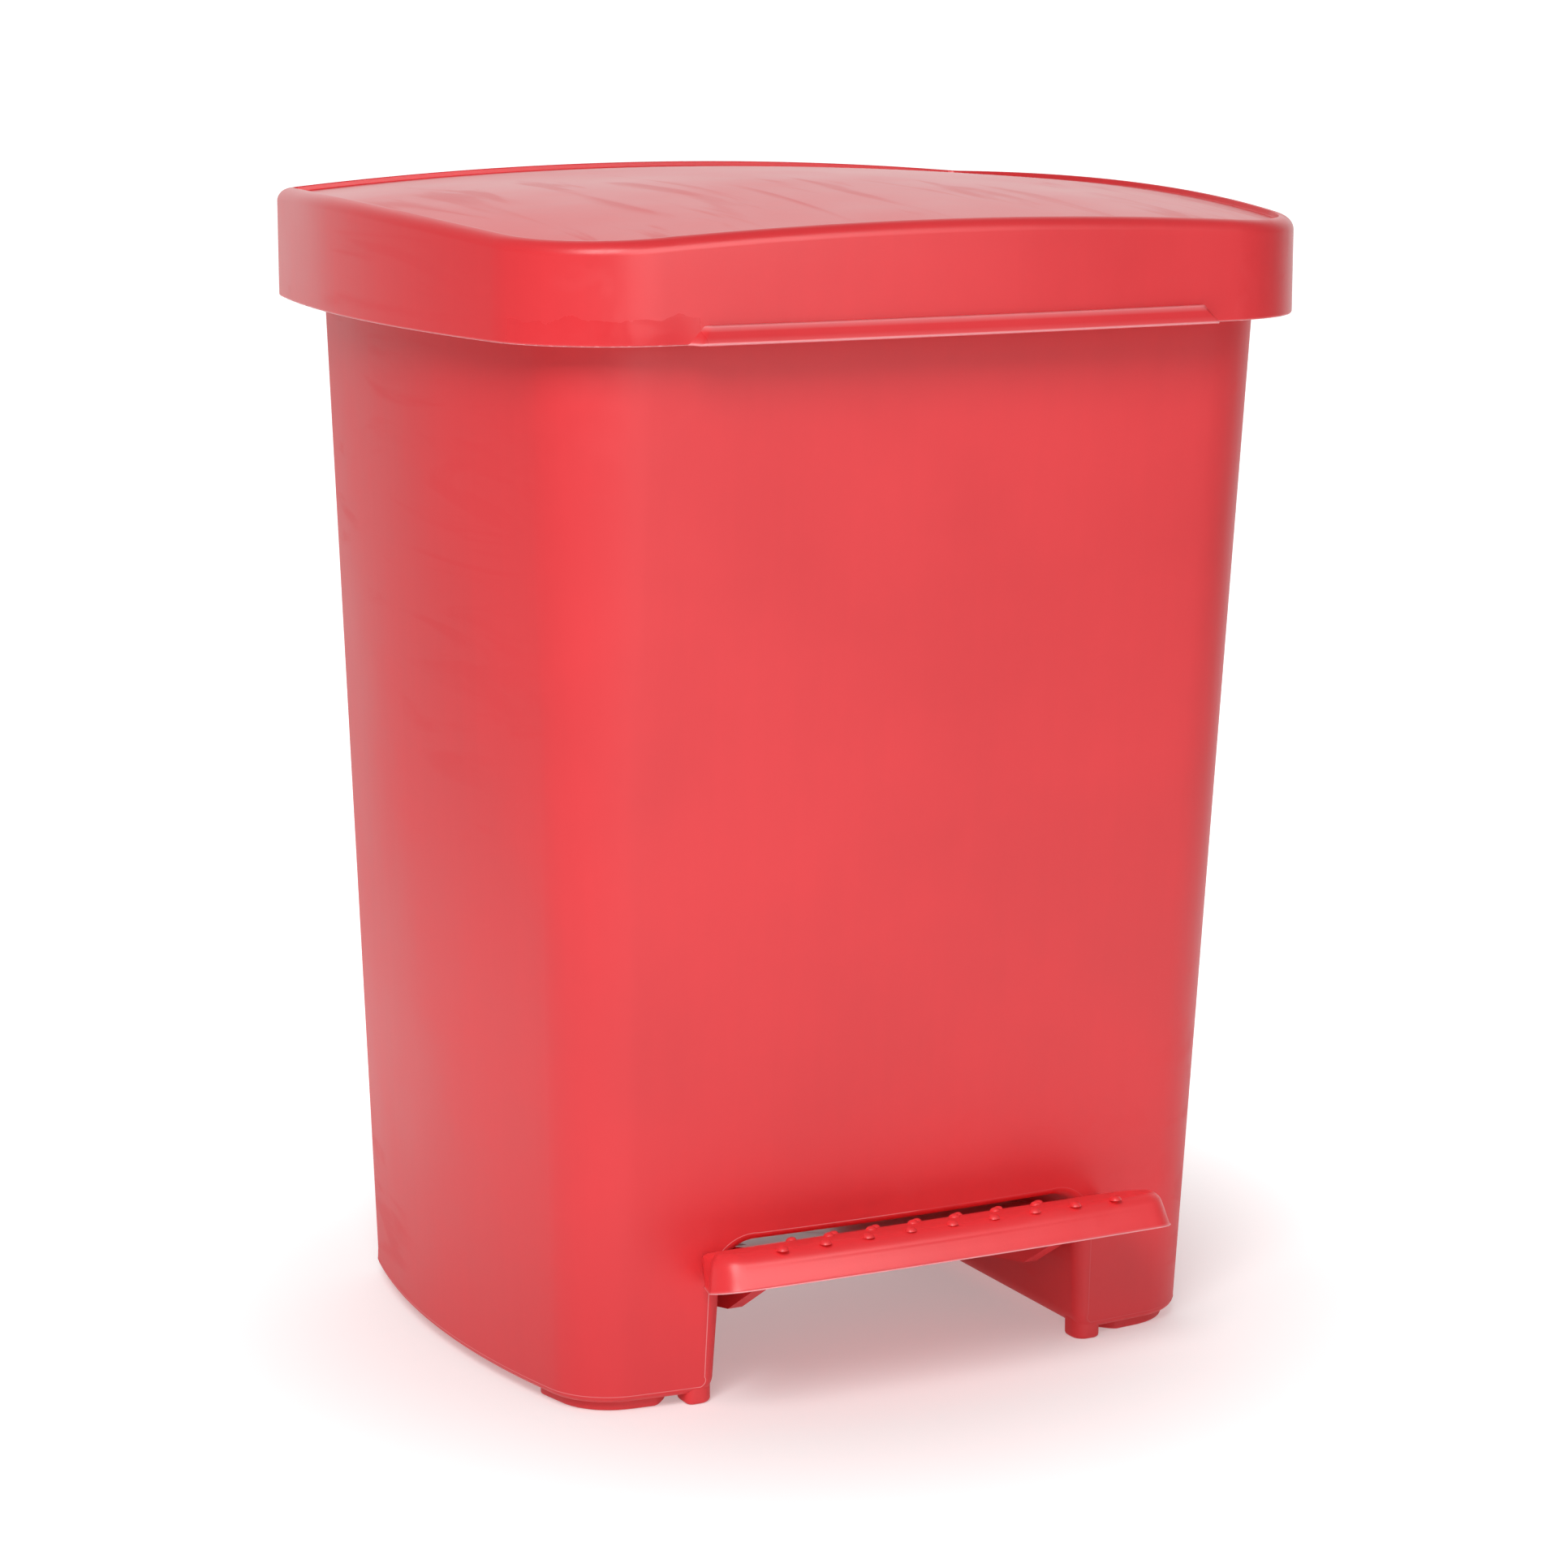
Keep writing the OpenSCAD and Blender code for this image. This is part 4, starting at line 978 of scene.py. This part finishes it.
def foot_loop(peg, away):
    """A crescent under a corner of the base, seen from above."""
    out = full_outline(BASE, FOOT_INSET)[0]
    disc_c, hole_c = (np.array([peg[0] + x, peg[1] + y * away]) for x, y in (FOOT_DISC, FOOT_HOLE))
    hole_r = FOOT_HOLE_RADIUS
    start = math.atan2(peg[1] - hole_c[1], peg[0] - hole_c[0])
    rays = np.linspace(-1.25, 1.25, 61) + start
    outer, inner = [], []
    for a in rays:
        d = np.array([math.cos(a), math.sin(a)])
        reach = hole_r
        for r in np.arange(hole_r, 60, 0.1):
            q = (hole_c + d * r)[None]
            if not inside(q, out)[0] or np.hypot(*(q[0] - disc_c)) > FOOT_DISC_RADIUS:
                break
            reach = r
        outer.append(hole_c + d * reach)
        inner.append(hole_c + d * hole_r)
    outer, inner = np.array(outer), np.array(inner)
    thick = np.linalg.norm(outer - inner, axis=1) > 1.0
    loop = np.concatenate([outer[thick], inner[thick][::-1]])
    area = (loop[:, 0] * np.roll(loop[:, 1], -1) - loop[:, 1] * np.roll(loop[:, 0], -1)).sum()
    return loop if area > 0 else loop[::-1]


def foot(peg, away, side):
    piece = Piece()
    loop = foot_loop(peg, away)
    if side < 0:
        loop = (loop * [-1, 1])[::-1]
    pad(piece, loop, 0, BASE_Z + 0.2, FOOT_ROUND)
    return piece


# ---------- put together ----------

container().build("container_shell", "container", ["body_shell"], "container_red")
lid_shell().build("lid_dome", "lid", ["lid_shell"], "lid_red")
tread().build("pedal_pad", "pedal", ["pedal_tread"], "pedal_red", tread_turn)
for end, peg, away in (("front", (114, -74), 1), ("rear", (114, 97), -1)):
    for hand, side in (("left", -1), ("right", 1)):
        piece = foot(peg, away, side)
        piece.build(f"{end}_{hand}_foot", "container", [f"foot_{end}_{hand}"], "container_red")
for node in SLOTS:
    if not frame["nodes"][node].hide_render:
        show_cad(node)


# ---------- studio ----------

# The air and the floor light the bin from one side, and show the camera a plain white, but the floor is shown
# dimmer near the bin: a painted shade round its base.
# A glow is the two distances, or shares of the backdrop's way, between which it goes over.
AIR_LIGHT, BACKDROP_LIGHT, AIR_SEEN, AIR_GLOW = 0.21, 1.2, 1.0, (0.45, 0.92)
BACKDROP_WAY = (0.5, 0.866, 0.0)
FLOOR_HALF, FLOOR_PALE, FLOOR_GLOW_NEAR, FLOOR_GLOW_FAR, FLOOR_SEEN = 60.0, 0.75, 0.22, 0.8, 0.95
# The last pair: distances over which the floor the camera sees goes from a painted shade near the bin to
# white
FLOOR_GLOW, FLOOR_SIDE, FLOOR_FAR, FLOOR_SHADE_FADE = (0.12, 0.5), (0.35, 0.85), (0.6, 1.2), (0.1, 0.42)
# Name, place, aim, side in metres, watts, whether it lights by diffusion as well as in gloss
LIGHTS = (("key", (-1.25, -1.65, 1.95), (0, 0, 0.22), 1.2, 46, True),
          ("sheen_panel", (0.2, -2.3, 1.2), (0, 0, 0.25), 1.9, 50, False))
CAMERA_PLACE, CAMERA_AZIMUTH, CAMERA_PITCH, CAMERA_LENS = (-0.7426, -1.4552, 0.5284), 26.982, 10.972, 97.77


def vector_math(tree, operation, source, other=(0, 0, 0)):
    node = tree.nodes.new("ShaderNodeVectorMath")
    node.operation = operation
    tree.links.new(source, node.inputs[0])
    node.inputs[1].default_value = other
    return node.outputs


def seen_plain(tree, light, seen, target):
    """Gives the camera the plain level and every other ray the light's own level."""
    path = tree.nodes.new("ShaderNodeLightPath")
    pick = tree.nodes.new("ShaderNodeMix")
    tree.links.new(path.outputs["Is Camera Ray"], pick.inputs[0])
    tree.links.new(light, pick.inputs[2])
    if isinstance(seen, float):
        pick.inputs[3].default_value = seen
    else:
        tree.links.new(seen, pick.inputs[3])
    tree.links.new(pick.outputs[0], target)


def air(scene):
    world = bpy.data.worlds.new("studio_air")
    scene.world = world
    world.use_nodes = True
    tree = world.node_tree
    background = tree.nodes["Background"]
    background.inputs["Color"].default_value = (1, 1, 1, 1)
    place = tree.nodes.new("ShaderNodeTexCoord").outputs["Generated"]
    toward = vector_math(tree, "DOT_PRODUCT", place, BACKDROP_WAY)["Value"]
    glow = ramp(tree, toward, *AIR_GLOW, AIR_LIGHT, BACKDROP_LIGHT)
    seen_plain(tree, glow, AIR_SEEN, background.inputs["Strength"])


def paper():
    """White paper that glows and lights the bin, its glow growing away from the bin, toward the backdrop; the
    camera sees it dimmer near the bin, a painted shade round the base.
    """
    material, tree, shader = new_material("paper")
    given(shader, {"Base Color": (FLOOR_PALE, FLOOR_PALE, FLOOR_PALE, 1), "Roughness": 0.9,
                   "Specular IOR Level": 0, "Emission Color": (1, 1, 1, 1)})
    place = tree.nodes.new("ShaderNodeTexCoord").outputs["Object"]
    reach = vector_math(tree, "LENGTH", place)["Value"]
    way = vector_math(tree, "NORMALIZE", place)["Vector"]
    toward = vector_math(tree, "DOT_PRODUCT", way, BACKDROP_WAY)["Value"]
    side = combine(tree, "MAXIMUM", ramp(tree, toward, *FLOOR_SIDE), ramp(tree, reach, *FLOOR_FAR, 1, 0))
    glow = combine(tree, "MULTIPLY", ramp(tree, reach, *FLOOR_GLOW, FLOOR_GLOW_NEAR, FLOOR_GLOW_FAR), side)
    # What the camera sees: dimmer near the bin, a painted shade round its base
    seen = ramp(tree, reach, *FLOOR_SHADE_FADE, FLOOR_GLOW_NEAR + 0.1, FLOOR_SEEN)
    seen_plain(tree, glow, seen, shader.inputs["Emission Strength"])
    return material


def studio():
    scene = bpy.context.scene
    scene.view_settings.view_transform = "Standard"
    air(scene)
    mesh = bpy.data.meshes.new("floor")
    corners = [(x * FLOOR_HALF, y * FLOOR_HALF, 0) for x, y in ((-1, -1), (1, -1), (1, 1), (-1, 1))]
    mesh.from_pydata(corners, [], [(0, 1, 2, 3)])
    floor = bpy.data.objects.new("floor", mesh)
    scene.collection.objects.link(floor)
    mesh.materials.append(paper())
    for name, place, aim, size, power, diffuse in LIGHTS:
        light = bpy.data.lights.new(name, "AREA")
        light.shape, light.size, light.energy = "SQUARE", size, power
        lamp = bpy.data.objects.new(name, light)
        lamp.location = place
        lamp.visible_diffuse = diffuse
        lamp.rotation_mode = "QUATERNION"
        lamp.rotation_quaternion = (Vector(aim) - Vector(place)).to_track_quat("-Z", "Y")
        scene.collection.objects.link(lamp)


def camera():
    azimuth, pitch = math.radians(CAMERA_AZIMUTH), math.radians(CAMERA_PITCH)
    data = bpy.data.cameras.new("camera")
    data.lens, data.sensor_width = CAMERA_LENS, 36
    cam = bpy.data.objects.new("camera", data)
    cam.location = CAMERA_PLACE

    flat = math.cos(pitch)
    look = Vector((math.sin(azimuth) * flat, math.cos(azimuth) * flat, -math.sin(pitch)))
    cam.rotation_mode = "QUATERNION"
    cam.rotation_quaternion = look.to_track_quat("-Z", "Y")
    bpy.context.scene.collection.objects.link(cam)
    bpy.context.scene.camera = cam


studio()
camera()
